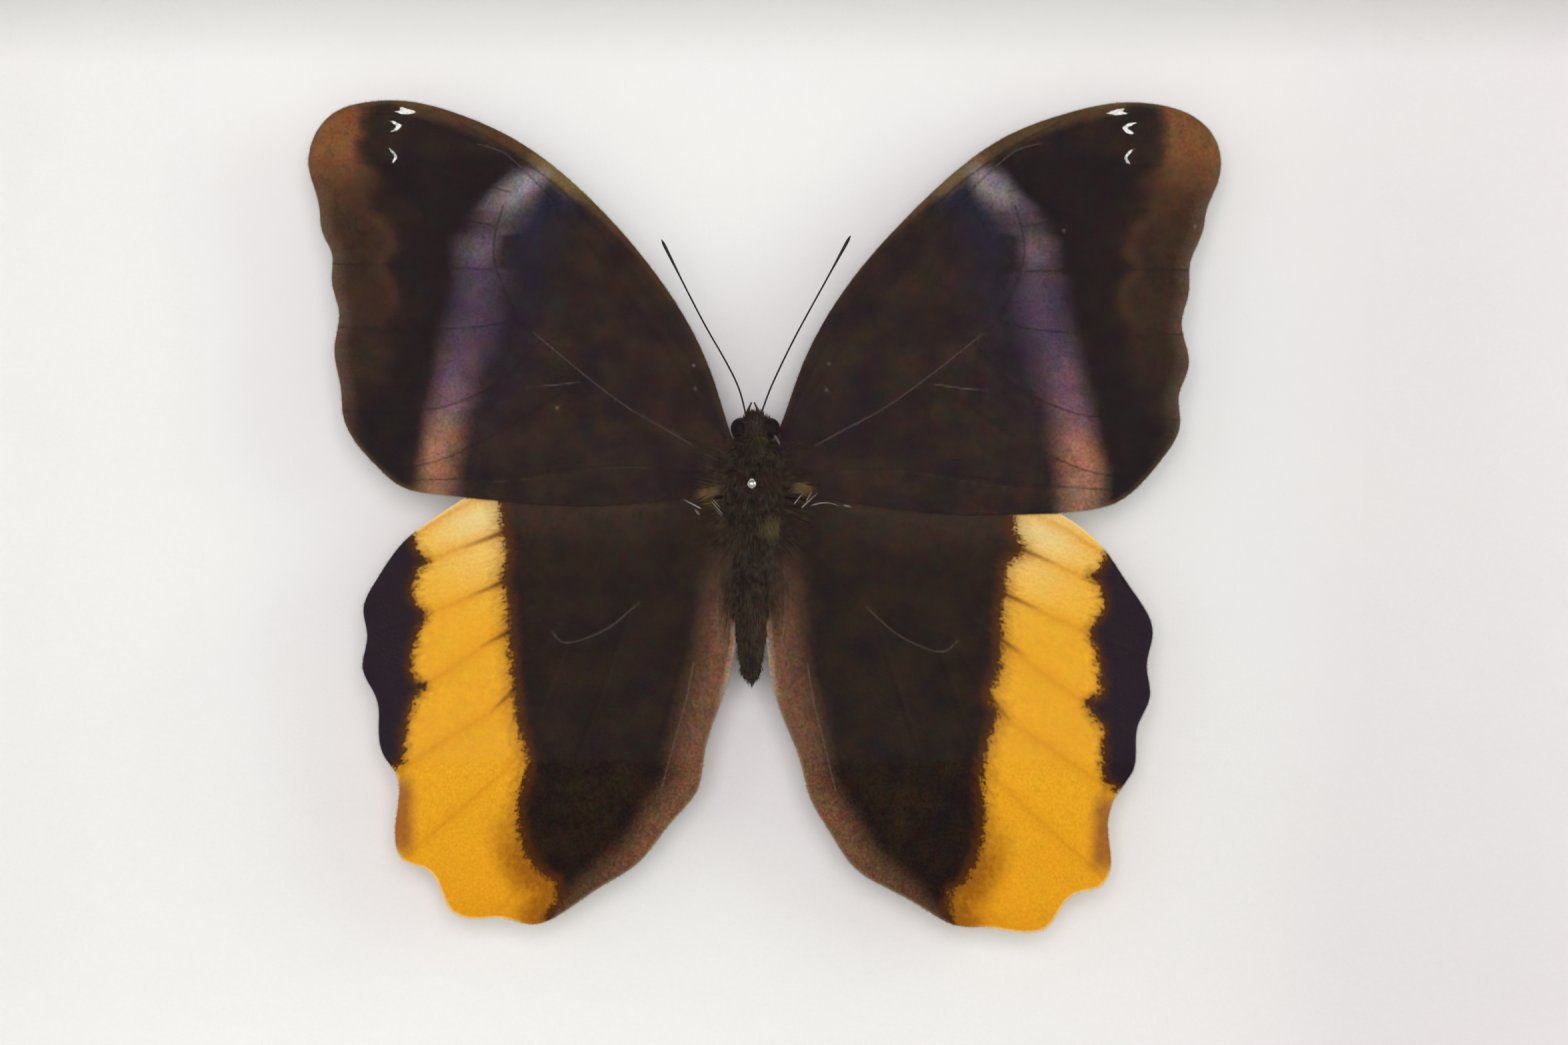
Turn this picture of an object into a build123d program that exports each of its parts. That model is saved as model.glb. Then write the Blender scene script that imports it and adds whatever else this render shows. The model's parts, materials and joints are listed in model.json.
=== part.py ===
from build123d import *
import os

# Glazed wooden display case holding one spread butterfly on an insect pin.
#
# The case hangs on a wall or stands on its bottom rail. X runs across the front, Y runs from the
# glass to the wall and Z is up. The origin is the centre of the bottom rail's underside, half way
# through the depth of the case body. All sizes are millimetres.
#
# The case body is four mitred rails with a back panel in a rabbet. Inside it, thin liner boards
# stand proud of the rim as a dust tongue, and a foam sheet faced with white paper takes the pin.
# The glazed lid swings on two butt hinges on the left and is held by two hooks on the right.

# ---- Case body -----------------------------------------------------------------------------------
case_width = 310.0
case_height = 210.0
case_depth = 46.0
wall = 15.0
case_edge_radius = 1.2
mitre_reach = 40.0

panel_thickness = 4.0
panel_recess = 3.0
panel_rabbet = 5.0
panel_clearance = 0.3

liner_thickness = 3.0
tongue_height = 6.2

foam_thickness = 10.0
foam_clearance = 0.2
paper_thickness = 0.4

seal_width = 2.5
seal_thickness = 1.0
seal_inset = 10.5

# ---- Lid -----------------------------------------------------------------------------------------
lid_depth = 18.0
lid_gap = 1.2
lid_reveal = 0.8
lid_lip = 5.0
lid_lip_cover = 3.0
lid_edge_radius = 2.0
lid_sight_bevel = 2.4
tongue_clearance = 0.4
glass_thickness = 2.0
glass_clearance = 0.5
bead_size = 5.0
bead_bevel = 1.6

# ---- Butt hinges ---------------------------------------------------------------------------------
hinge_length = 32.0
hinge_edge_distance = 45.0
hinge_leaf_width = 8.0
hinge_leaf_thickness = 1.0
hinge_leaf_spacing = 0.2
hinge_knuckle_radius = 2.2
hinge_knuckle_gap = 0.2
hinge_knuckles = 5
hinge_pin_radius = 1.1
hinge_running_clearance = 0.05
hinge_stand_off = 2.4
hinge_screw_inset = 4.4
hinge_screw_spacing = 10.0
mortise_clearance = 0.15
mortise_overcut = 1.0

# ---- Screws --------------------------------------------------------------------------------------
screw_radius = 1.0
screw_head_radius = 2.0
screw_length = 9.0
screw_slot_width = 0.5
screw_slot_depth = 0.4
countersink_clearance = 0.02
pan_head_height = 1.2
pan_head_radius = 2.3

# ---- Hooks ---------------------------------------------------------------------------------------
hook_edge_distance = 48.0
hook_thickness = 1.2
hook_arm_width = 3.8
hook_eye_radius = 3.3
hook_pad_radius = 3.5
hook_finger_length = 4.5
hook_side_clearance = 0.06
hook_pivot_inset = 12.0
hook_pivot_clearance = 0.08
hook_notch_clearance = 0.35
hook_washer_thickness = 0.5
hook_washer_radius = 2.7
hook_engaged_turn = 270.0
keeper_head_clearance = 0.5

# ---- Hangers on the back -------------------------------------------------------------------------
hanger_edge_distance = 62.0
hanger_inset = 7.0
hanger_strap_width = 6.0
hanger_strap_length = 19.0
hanger_strap_thickness = 1.0
hanger_ring_wire_radius = 1.0
hanger_ring_half_width = 5.5
hanger_ring_arm = 4.0
hanger_ring_clearance = 0.1
hanger_screw_distance = 15.5
bumper_radius = 4.0
bumper_height = 4.5
bumper_edge_distance = 14.0
point_length = 12.0
point_width = 5.0
point_thickness = 0.6
point_embedded = 4.0
points_per_long_side = 3
points_per_short_side = 2

# ---- Insect pin and the place of the specimen ----------------------------------------------------
pin_length = 38.0
pin_radius = 0.25
pin_head_radius = 0.75
pin_point_length = 1.4
pin_depth_in_foam = 8.5
pin_hole_clearance = 0.03
pin_offset_across = -1.65
pin_offset_up = 4.7
wing_height = 12.0
wing_thickness = 0.3
wing_spacing = 0.3

# ---- Specimen body -------------------------------------------------------------------------------
body_sink = 0.8
head_centre_up = 8.5
head_offset = 0.35
head_radius = 2.35
eye_radius = 1.65
eye_spread = 2.2
antenna_radius = 0.14
antenna_joint_radius = 0.16
antenna_club_radius = 0.27
antenna_club_length = 8.0
palp_length = 2.0
palp_radius = 0.42
palp_spread = 0.8
palp_tip_spread = 0.25
palp_root = 0.85
leg_radius = 0.22
leg_joint_radius = 0.25

# Radius and height of the thorax and abdomen silhouettes, measured from the pin.
thorax_profile = [
    (0.0, 7.8), (2.3, 7.0), (3.6, 4.8), (4.1, 1.2), (4.0, -3.6), (3.0, -8.4), (0.0, -11.4),
]
abdomen_profile = [
    (0.0, -8.2), (2.5, -10.4), (2.7, -14.0), (2.5, -20.0), (2.1, -25.0), (1.2, -29.2), (0.0, -30.5),
]
abdomen_offset = -0.35

# Antenna centrelines from head to tip, across and up from the pin.
antenna_left_route = [(-1.0, 10.0), (-1.8, 13.9), (-3.1, 17.0), (-8.0, 26.0), (-13.75, 36.9)]
antenna_right_route = [(1.1, 10.4), (3.1, 15.8), (7.1, 23.8), (11.0, 30.8), (14.65, 37.5)]

# Each leg folds under the thorax: across, down from the wing plane, up.
leg_route = [(1.6, 3.6, 2.6), (4.6, 6.6, 4.4), (3.4, 8.6, -1.2), (1.8, 9.6, -6.4)]
leg_pair_heights = [1.2, -3.2]

# Wing outlines from the front of the wing root, round the tip, to the back of the root. Each point is
# across and up from the pin.
forewing_left = [
    (-2.6, 5.6), (-3.9, 9.3), (-6.0, 16.0), (-9.0, 22.9), (-14.3, 31.3), (-20.6, 39.0), (-27.7, 46.0),
    (-35.7, 51.9), (-44.8, 56.0), (-52.1, 57.8), (-58.5, 57.6), (-63.2, 56.0), (-66.2, 52.2),
    (-66.8, 47.6), (-65.3, 42.3), (-64.7, 37.9), (-63.3, 34.8), (-63.3, 30.6), (-62.2, 25.9),
    (-62.9, 20.6), (-61.9, 14.4), (-61.5, 10.2), (-59.4, 6.1), (-56.4, 2.8), (-52.5, -0.3),
    (-47.8, -1.3), (-38.0, -2.3), (-28.0, -2.9), (-18.0, -2.7), (-9.5, -1.7), (-2.8, -1.6),
]
forewing_right = [
    (2.6, 5.6), (4.6, 10.1), (7.1, 17.2), (10.3, 23.9), (15.9, 32.2), (22.5, 39.6), (29.7, 46.5),
    (37.8, 52.3), (47.1, 55.9), (54.4, 57.5), (61.9, 57.1), (66.5, 55.4), (69.6, 52.0),
    (69.9, 45.6), (68.3, 41.8), (67.5, 37.9), (65.7, 33.5), (65.5, 29.0), (64.4, 24.2),
    (65.5, 18.2), (64.0, 13.6), (64.1, 8.9), (61.6, 4.2), (58.4, 0.4), (54.5, -2.6),
    (50.4, -3.7), (42.0, -4.3), (32.0, -4.3), (22.0, -3.5), (12.0, -2.1), (2.8, -1.6),
]
hindwing_left = [
    (-2.4, -2.0), (-9.0, 0.6), (-20.0, 2.4), (-32.0, 2.6), (-41.0, -0.6), (-48.4, -5.3), (-52.4, -8.4),
    (-56.7, -14.4), (-58.6, -18.9), (-58.0, -22.4), (-58.7, -27.6), (-56.6, -32.2), (-56.3, -37.8),
    (-55.4, -41.0), (-53.8, -43.2), (-53.3, -47.0), (-53.8, -54.0), (-52.7, -56.5), (-49.4, -57.7),
    (-47.4, -60.0), (-45.4, -64.2), (-42.4, -65.3), (-38.2, -65.1), (-33.4, -66.1), (-28.5, -64.2),
    (-23.4, -60.7), (-17.0, -56.5), (-12.4, -50.7), (-8.4, -45.8), (-7.3, -40.2), (-5.4, -34.0),
    (-3.4, -28.0), (-2.4, -20.0), (-1.6, -10.0),
]
hindwing_right = [
    (2.4, -2.0), (9.0, 0.2), (20.0, 1.6), (32.0, 1.4), (41.0, -1.8), (48.8, -6.0), (52.9, -9.8),
    (56.7, -15.4), (60.1, -22.3), (59.2, -27.0), (59.7, -31.8), (57.8, -36.4), (57.3, -42.6),
    (55.4, -45.6), (53.6, -49.3), (53.6, -54.0), (53.7, -58.2), (52.4, -60.4), (48.6, -61.5),
    (46.4, -63.6), (44.2, -66.7), (41.0, -67.4), (35.4, -66.6), (30.4, -66.2), (25.6, -63.6),
    (20.4, -60.7), (15.6, -57.8), (11.4, -51.9), (8.7, -47.2), (7.1, -41.4), (5.0, -36.1),
    (3.0, -30.2), (2.0, -22.0), (1.4, -10.0),
]

# ---- Planes worked out from the sizes above ------------------------------------------------------
half_width = case_width / 2
rim_y = -case_depth / 2
back_y = case_depth / 2
panel_back_y = back_y - panel_recess
panel_front_y = panel_back_y - panel_thickness
foam_front_y = panel_front_y - foam_thickness
ground_y = foam_front_y - paper_thickness
liner_front_y = rim_y - tongue_height
lid_back_y = rim_y - lid_gap
lid_front_y = lid_back_y - lid_depth
glass_front_y = lid_front_y + lid_lip
glass_back_y = glass_front_y + glass_thickness
liner_inset = wall + liner_thickness
sight_inset = liner_inset + lid_lip_cover
lid_recess_inset = wall - tongue_clearance
lid_half_width = half_width - lid_reveal
hinge_x = -half_width - hinge_stand_off
hinge_y = rim_y - lid_gap / 2
hinge_heights = [hinge_edge_distance, case_height - hinge_edge_distance]
hook_heights = [hook_edge_distance, case_height - hook_edge_distance]
hook_pivot_y = rim_y + hook_pivot_inset
keeper_y = lid_back_y - lid_depth / 2
hook_plate_x = half_width + hook_washer_thickness + hook_side_clearance
hanger_y = back_y + hanger_strap_thickness + hanger_ring_clearance + hanger_ring_wire_radius
hanger_height = case_height - hanger_edge_distance
hanger_x = half_width - hanger_inset
bumper_x = half_width - (wall - panel_rabbet) / 2
pin_x = pin_offset_across
pin_z = case_height / 2 + pin_offset_up
pin_tip_y = ground_y + pin_depth_in_foam
pin_top_y = pin_tip_y - pin_length
wing_y = ground_y - wing_height
body_y = wing_y + body_sink
corners = ["top", "bottom", "left", "right"]


# ---- Shape helpers -------------------------------------------------------------------------------
def block(x, y, z):
    """Box between a low and a high limit on each axis."""
    middle = [(low + high) / 2 for low, high in (x, y, z)]
    size = [high - low for low, high in (x, y, z)]
    return Pos(*middle) * Box(*size)


def inset_block(inset, y):
    """Box over the whole front of the case, drawn in from its four outer sides."""
    return block((inset - half_width, half_width - inset), y, (inset, case_height - inset))


def rod(start, end, radius, end_radius=None):
    """Round bar or cone between two points."""
    start, end = Vector(start), Vector(end)
    along = Plane(origin=start, z_dir=end - start)
    align = (Align.CENTER, Align.CENTER, Align.MIN)
    length = (end - start).length
    if end_radius is None:
        return along * Cylinder(radius, length, align=align)
    return along * Cone(radius, end_radius, length, align=align)


def ball(centre, radius):
    """Sphere about a point."""
    return Pos(*centre) * Sphere(radius)


def front_shape(sketch, y, thickness):
    """Sketch drawn across and up, made into a plate that runs from y towards the back."""
    return extrude(Pos(0, y, 0) * (Plane.XZ * sketch), amount=-thickness)


def mitre_wedge(side, y):
    """The share of a frame that belongs to one of its four mitred rails."""
    near, far = -half_width, half_width
    low, high = 0.0, case_height
    reach = mitre_reach
    points = {
        "top": [(near, high), (far, high), (far - reach, high - reach), (near + reach, high - reach)],
        "bottom": [(near, low), (far, low), (far - reach, low + reach), (near + reach, low + reach)],
        "left": [(near, low), (near + reach, low + reach), (near + reach, high - reach), (near, high)],
        "right": [(far, low), (far, high), (far - reach, high - reach), (far - reach, low + reach)],
    }[side]
    return front_shape(make_face(Polyline(*points, close=True)), y[0], y[1] - y[0])


def edges_at(shape, x, z, y):
    """Edges of a frame that lie at y, and run along x or z at the given half width and inset."""
    found = []
    for edge in shape.edges():
        middle = edge.center()
        on_upright = abs(abs(middle.X) - x) < 0.01
        on_level = min(abs(middle.Z - z), abs(case_height - middle.Z - z)) < 0.01
        if abs(middle.Y - y) < 0.01 and (on_upright or on_level):
            found.append(edge)
    return ShapeList(found)


# ---- Fasteners -----------------------------------------------------------------------------------
def driver_slot(top, direction, head_radius):
    """Slot across the top of a screw head."""
    cut = Box(4 * head_radius, screw_slot_width, 2 * screw_slot_depth)
    return Plane(origin=top, z_dir=direction) * cut


def countersunk_screw(head, direction):
    """Slotted countersunk wood screw. head is the centre of its flat top; direction points in."""
    head, direction = Vector(head), Vector(direction)
    depth = screw_head_radius - screw_radius
    cone = rod(head, head + direction * depth, screw_head_radius, screw_radius)
    shank = rod(head + direction * depth, head + direction * screw_length, screw_radius)
    return cone + shank - driver_slot(head, direction, screw_head_radius)


def countersink(head, direction):
    """The hole that a countersunk screw fills."""
    head, direction = Vector(head), Vector(direction)
    grow = countersink_clearance
    depth = screw_head_radius - screw_radius
    cone = rod(head, head + direction * depth, screw_head_radius + grow, screw_radius + grow)
    shank = rod(head, head + direction * (screw_length + grow), screw_radius + grow)
    return cone + shank


def pan_screw(seat, direction):
    """Slotted pan-head screw. seat is where the underside of its head lies; direction points in."""
    seat, direction = Vector(seat), Vector(direction)
    top = seat - direction * pan_head_height
    head = rod(seat, top, pan_head_radius)
    head = fillet(head.faces().sort_by_distance(top)[0].edges(), pan_head_height / 2)
    shank = rod(seat, seat + direction * screw_length, screw_radius)
    return head + shank - driver_slot(top, direction, pan_head_radius)


def screw_hole(seat, direction):
    """Straight hole for a pan-head screw's shank."""
    seat, direction = Vector(seat), Vector(direction)
    end = seat + direction * (screw_length + countersink_clearance)
    return rod(seat, end, screw_radius + countersink_clearance)


INTO_BACK = (0, 1, 0)
INTO_FRONT = (0, -1, 0)
INTO_LEFT = (-1, 0, 0)


def hinge_screw_heads(leaf_face_y):
    """Screw head centres on the face of the case leaf or the lid leaf, for both hinges."""
    x = -half_width + hinge_screw_inset
    steps = (-hinge_screw_spacing, 0.0, hinge_screw_spacing)
    return [(x, leaf_face_y, height + step) for height in hinge_heights for step in steps]


case_leaf_face_y = hinge_y + hinge_leaf_spacing / 2
lid_leaf_face_y = hinge_y - hinge_leaf_spacing / 2
case_leaf_y = (case_leaf_face_y, case_leaf_face_y + hinge_leaf_thickness)
lid_leaf_y = (lid_leaf_face_y - hinge_leaf_thickness, lid_leaf_face_y)


def hinge_mortise(height, y):
    """Shallow pocket in a rail for one hinge leaf."""
    x = (-half_width - hinge_stand_off, -half_width + hinge_leaf_width + mortise_clearance)
    half = hinge_length / 2 + mortise_clearance
    return block(x, y, (height - half, height + half))


def hook_pivot_seats():
    """Underside of each hook pivot screw's head."""
    x = hook_plate_x + hook_thickness + hook_side_clearance
    return [(x, hook_pivot_y, height) for height in hook_heights]


def keeper_seats():
    """Underside of each keeper screw's head, which stands clear of the hook plate."""
    x = hook_plate_x + hook_thickness + keeper_head_clearance
    return [(x, keeper_y, height) for height in hook_heights]


def hanger_screw_seats():
    """Underside of each hanger screw's head on its strap."""
    z = hanger_height - hanger_screw_distance
    return [(side * hanger_x, back_y + hanger_strap_thickness, z) for side in (-1, 1)]


# ---- Case body -----------------------------------------------------------------------------------
def panel_points():
    """Thin steel points that hold the back panel, driven into the rabbet's walls."""
    edge = wall - panel_rabbet
    y = (panel_back_y, panel_back_y + point_thickness)
    reach = (edge - point_embedded, edge - point_embedded + point_length)
    made = []
    for number in range(points_per_long_side):
        x = case_width * ((number + 0.5) / points_per_long_side - 0.5)
        across = (x - point_width / 2, x + point_width / 2)
        made.append(block(across, y, reach))
        made.append(block(across, y, (case_height - reach[1], case_height - reach[0])))
    for number in range(points_per_short_side):
        z = case_height * (number + 0.5) / points_per_short_side
        up = (z - point_width / 2, z + point_width / 2)
        made.append(block((reach[0] - half_width, reach[1] - half_width), y, up))
        made.append(block((half_width - reach[1], half_width - reach[0]), y, up))
    return made


def case_rails():
    """Four mitred rails of the case body, with the rabbet for the back panel."""
    depth = (rim_y, back_y)
    frame = inset_block(0, depth)
    frame = fillet(edges_at(frame, half_width, 0, back_y), case_edge_radius)
    frame -= inset_block(wall, depth)
    frame -= inset_block(wall - panel_rabbet, (panel_front_y, back_y))
    for height in hinge_heights:
        frame -= hinge_mortise(height, (rim_y - mortise_overcut, case_leaf_y[1]))
    for head in hinge_screw_heads(case_leaf_face_y):
        frame -= countersink(head, INTO_BACK)
    for seat in hook_pivot_seats():
        frame -= screw_hole(seat, INTO_LEFT)
    for seat in hanger_screw_seats():
        frame -= screw_hole(seat, INTO_FRONT)
    for point in panel_points():
        frame -= point
    return {side: frame & mitre_wedge(side, depth) for side in corners}


def back_panel():
    """Plywood back in the rabbet of the rails."""
    return inset_block(wall - panel_rabbet + panel_clearance, (panel_front_y, panel_back_y))


def liners():
    """Thin boards inside the rails. Their front edges stand proud of the rim as a dust tongue."""
    y = (liner_front_y, panel_front_y)
    outer, inner = wall, liner_inset
    across = (outer - half_width, half_width - outer)
    between = (inner, case_height - inner)
    return {
        "top": block(across, y, (case_height - inner, case_height - outer)),
        "bottom": block(across, y, (outer, inner)),
        "left": block((outer - half_width, inner - half_width), y, between),
        "right": block((half_width - inner, half_width - outer), y, between),
    }


def pin_hole():
    """Hole that the insect pin makes in whatever it passes through."""
    end = pin_tip_y + pin_hole_clearance
    return rod((pin_x, pin_top_y, pin_z), (pin_x, end, pin_z), pin_radius + pin_hole_clearance)


def foam_base():
    """Foam sheet that takes the pin."""
    return inset_block(liner_inset + foam_clearance, (foam_front_y, panel_front_y)) - pin_hole()


def ground_paper():
    """White paper glued over the foam."""
    return inset_block(liner_inset + foam_clearance, (ground_y, foam_front_y)) - pin_hole()


def dust_seal():
    """Felt strip all round the rim, under the lid."""
    y = (rim_y - seal_thickness, rim_y)
    return inset_block(seal_inset, y) - inset_block(seal_inset + seal_width, y)


# ---- Lid -----------------------------------------------------------------------------------------
def lid_rails():
    """Four mitred rails of the lid: a front lip that hides the edge of the glass, and a deep recess."""
    depth = (lid_front_y, lid_back_y)
    frame = inset_block(lid_reveal, depth)
    frame = fillet(edges_at(frame, lid_half_width, lid_reveal, lid_front_y), lid_edge_radius)
    frame -= inset_block(sight_inset, depth)
    frame = chamfer(edges_at(frame, half_width - sight_inset, sight_inset, lid_front_y), lid_sight_bevel)
    frame -= inset_block(lid_recess_inset, (glass_front_y, lid_back_y))
    for height in hinge_heights:
        frame -= hinge_mortise(height, (lid_leaf_y[0], lid_back_y + mortise_overcut))
    for head in hinge_screw_heads(lid_leaf_face_y):
        frame -= countersink(head, INTO_FRONT)
    for seat in keeper_seats():
        frame -= screw_hole(seat, INTO_LEFT)
    return {side: frame & mitre_wedge(side, depth) for side in corners}


def glass_pane():
    """Clear sheet glass behind the lid's lip."""
    return inset_block(lid_recess_inset + glass_clearance, (glass_front_y, glass_back_y))


def glazing_beads():
    """Square strips, bevelled towards the inside, that hold the glass against the lip."""
    y = (glass_back_y, glass_back_y + bead_size)
    ring = inset_block(lid_recess_inset, y) - inset_block(lid_recess_inset + bead_size, y)
    inner = lid_recess_inset + bead_size
    ring = chamfer(edges_at(ring, half_width - inner, inner, y[1]), bead_bevel)
    return {side: ring & mitre_wedge(side, y) for side in corners}


# ---- Butt hinges ---------------------------------------------------------------------------------
def knuckle_spans(height, first):
    """Low and high end of every second knuckle, starting with knuckle number first."""
    pitch = hinge_length / hinge_knuckles
    low = height - hinge_length / 2
    return [(low + n * pitch, low + (n + 1) * pitch) for n in range(first, hinge_knuckles, 2)]


def hinge_leaf(height, plate_y, leaf_face_y, direction, first, bore):
    """One leaf: a plate in its mortise, its own knuckles, and room for the other leaf's knuckles."""
    half = hinge_length / 2
    leaf = block((hinge_x, -half_width + hinge_leaf_width), plate_y, (height - half, height + half))
    for low, high in knuckle_spans(height, first):
        leaf += rod((hinge_x, hinge_y, low), (hinge_x, hinge_y, high), hinge_knuckle_radius)
    for low, high in knuckle_spans(height, 1 - first):
        start = (hinge_x, hinge_y, low - hinge_knuckle_gap / 2)
        end = (hinge_x, hinge_y, high + hinge_knuckle_gap / 2)
        leaf -= rod(start, end, hinge_knuckle_radius + hinge_knuckle_gap)
    leaf -= rod((hinge_x, hinge_y, height - half), (hinge_x, hinge_y, height + half), bore)
    for head in hinge_screw_heads(leaf_face_y):
        leaf -= countersink(head, direction)
    return leaf


def hinge_parts(height):
    """Case leaf, lid leaf and pin of one hinge. The pin is tight in the case leaf."""
    half = hinge_length / 2
    loose = hinge_pin_radius + hinge_running_clearance
    return {
        "case_leaf": hinge_leaf(height, case_leaf_y, case_leaf_face_y, INTO_BACK, 0, hinge_pin_radius),
        "lid_leaf": hinge_leaf(height, lid_leaf_y, lid_leaf_face_y, INTO_FRONT, 1, loose),
        "pin": rod((hinge_x, hinge_y, height - half), (hinge_x, hinge_y, height + half), hinge_pin_radius),
    }


# ---- Hooks ---------------------------------------------------------------------------------------
def hook(height):
    """Flat brass hook, drawn pointing at its keeper with the notch down, then let hang from its pivot."""
    reach = hook_pivot_y - keeper_y
    notch = screw_radius + hook_notch_clearance
    finger = reach + hook_pad_radius + hook_finger_length
    flat = Circle(hook_eye_radius)
    flat += Pos(-reach / 2, 0) * Rectangle(reach, hook_arm_width)
    flat += Pos(-reach, 0) * Circle(hook_pad_radius)
    flat += Pos(-(reach + finger) / 2, hook_arm_width / 3) * SlotOverall(finger - reach, hook_arm_width / 2)
    flat -= Circle(screw_radius + hook_pivot_clearance)
    flat -= Pos(-reach, 0) * Circle(notch)
    flat -= Pos(-reach, -hook_pad_radius) * Rectangle(2 * notch, 2 * hook_pad_radius)
    plate = extrude(Plane.YZ * flat, amount=hook_thickness)
    return Pos(hook_plate_x, hook_pivot_y, height) * (Rot(-hook_engaged_turn, 0, 0) * plate)


def hook_washers():
    """Spacer under each hook."""
    start, end = half_width, half_width + hook_washer_thickness
    rings = [rod((start, hook_pivot_y, z), (end, hook_pivot_y, z), hook_washer_radius) for z in hook_heights]
    return [ring - screw_hole((end, hook_pivot_y, z), INTO_LEFT) for ring, z in zip(rings, hook_heights)]


# ---- Hangers, bumpers ----------------------------------------------------------------------------
def hanger_strap(side):
    """Folded steel strap: a flat tongue screwed to the rail, and a loop round the ring's bar."""
    x = side * hanger_x
    half = hanger_strap_width / 2
    loop = hanger_ring_wire_radius + hanger_ring_clearance
    low = hanger_height - hanger_strap_length
    tongue = block((x - half, x + half), (back_y, back_y + hanger_strap_thickness), (low, hanger_height))
    ends = [(x + step, hanger_y, hanger_height) for step in (-half, half)]
    strap = tongue + rod(*ends, loop + hanger_strap_thickness)
    strap -= rod(*ends, loop)
    screw_height = hanger_height - hanger_screw_distance
    return strap - screw_hole((x, back_y + hanger_strap_thickness, screw_height), INTO_FRONT)


def hanger_ring(side):
    """D-shaped wire ring hanging from its straight bar."""
    x, wire, half = side * hanger_x, hanger_ring_wire_radius, hanger_ring_half_width
    low = hanger_height - hanger_ring_arm
    bar = rod((x - half, hanger_y, hanger_height), (x + half, hanger_y, hanger_height), wire)
    for end in (x - half, x + half):
        bar += ball((end, hanger_y, hanger_height), wire)
        bar += rod((end, hanger_y, hanger_height), (end, hanger_y, low), wire)
    section = Pos(x + half, hanger_y, low) * Circle(wire)
    bow = revolve(section, Axis((x, hanger_y, low), (0, 1, 0)), revolution_arc=180)
    return bar + bow


def bumpers():
    """Rubber buttons on the lower back corners, which keep the case off the wall."""
    made = []
    for side in (-1, 1):
        foot = (side * bumper_x, back_y, bumper_edge_distance)
        top = (side * bumper_x, back_y + bumper_height, bumper_edge_distance)
        button = rod(foot, top, bumper_radius)
        made.append(fillet(button.faces().sort_by_distance(top)[0].edges(), bumper_height / 3))
    return made


# ---- Pin and specimen ----------------------------------------------------------------------------
def at_pin(across, y, up):
    """Point measured across and up from the pin."""
    return (pin_x + across, y, pin_z + up)


def insect_pin():
    """Steel pin, sharp at the tip."""
    shoulder = at_pin(0, pin_tip_y - pin_point_length, 0)
    shaft = rod(at_pin(0, pin_top_y + pin_head_radius, 0), shoulder, pin_radius)
    return shaft + rod(shoulder, at_pin(0, pin_tip_y, 0), pin_radius, pin_radius / 5)


def pin_head():
    """Round head on top of the pin."""
    return ball(at_pin(0, pin_top_y + pin_head_radius, 0), pin_head_radius) - insect_pin()


def turned(profile, offset):
    """Solid of revolution about an upright axis through the specimen's body."""
    face = make_face([Spline(*profile), Line(profile[-1], profile[0])])
    return Pos(pin_x + offset, body_y, pin_z) * revolve(Plane.XZ * face, Axis.Z)


def thorax():
    """Middle of the body. The pin is pressed straight through it."""
    return turned(thorax_profile, 0)


def abdomen():
    return turned(abdomen_profile, abdomen_offset) - thorax()


def head():
    return ball(at_pin(head_offset, body_y, head_centre_up), head_radius) - thorax()


def eyes():
    made = []
    for side in (-1, 1):
        centre = at_pin(head_offset + side * eye_spread, body_y - body_sink / 2, head_centre_up)
        made.append(ball(centre, eye_radius) - head() - thorax())
    return made


def palps():
    made = []
    for side in (-1, 1):
        root_up = head_centre_up + palp_root * head_radius
        base = at_pin(side * palp_spread, body_y, root_up)
        tip = at_pin(side * palp_tip_spread, body_y - palp_length / 4, root_up + palp_length)
        made.append(rod(base, tip, palp_radius, palp_radius / 3) - head())
    return made


def antenna(route):
    """Thin straight feeler that thickens to a club before its tip."""
    y = body_y - body_sink
    points = [Vector(*at_pin(across, y, up)) for across, up in route]
    feeler = ball(points[-1], antenna_club_radius)
    for start, end in zip(points, points[1:]):
        feeler += rod(start, end, antenna_radius) + ball(start, antenna_joint_radius)
    along = (points[-2] - points[-1]).normalized()
    feeler += rod(points[-1] + along * antenna_club_length, points[-1], antenna_radius, antenna_club_radius)
    return feeler - head()


def legs():
    """Two pairs of thin legs, folded under the thorax."""
    made = []
    for lift in leg_pair_heights:
        for side in (-1, 1):
            points = [at_pin(side * across, wing_y + down, up + lift) for across, down, up in leg_route]
            leg = ball(points[-1], leg_radius)
            for start, end in zip(points, points[1:]):
                leg += rod(start, end, leg_radius) + ball(start, leg_joint_radius)
            made.append(leg - thorax())
    return made


def wing(outline, front_y):
    """Thin plate with a curved outline, fitted against the body."""
    flat = make_face(Spline(*outline) + Line(outline[-1], outline[0]))
    plate = Pos(pin_x, 0, pin_z) * front_shape(flat, front_y, wing_thickness)
    for neighbour in [thorax(), abdomen(), head(), *eyes()]:
        plate -= neighbour
    return plate


# ---- Export --------------------------------------------------------------------------------------
def write(name, shape):
    solids = shape if isinstance(shape, list) else [shape]
    whole = Compound(children=[solid for part in solids for solid in part.solids()])
    export_step(whole, os.path.join("parts", name + ".step"))


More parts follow.
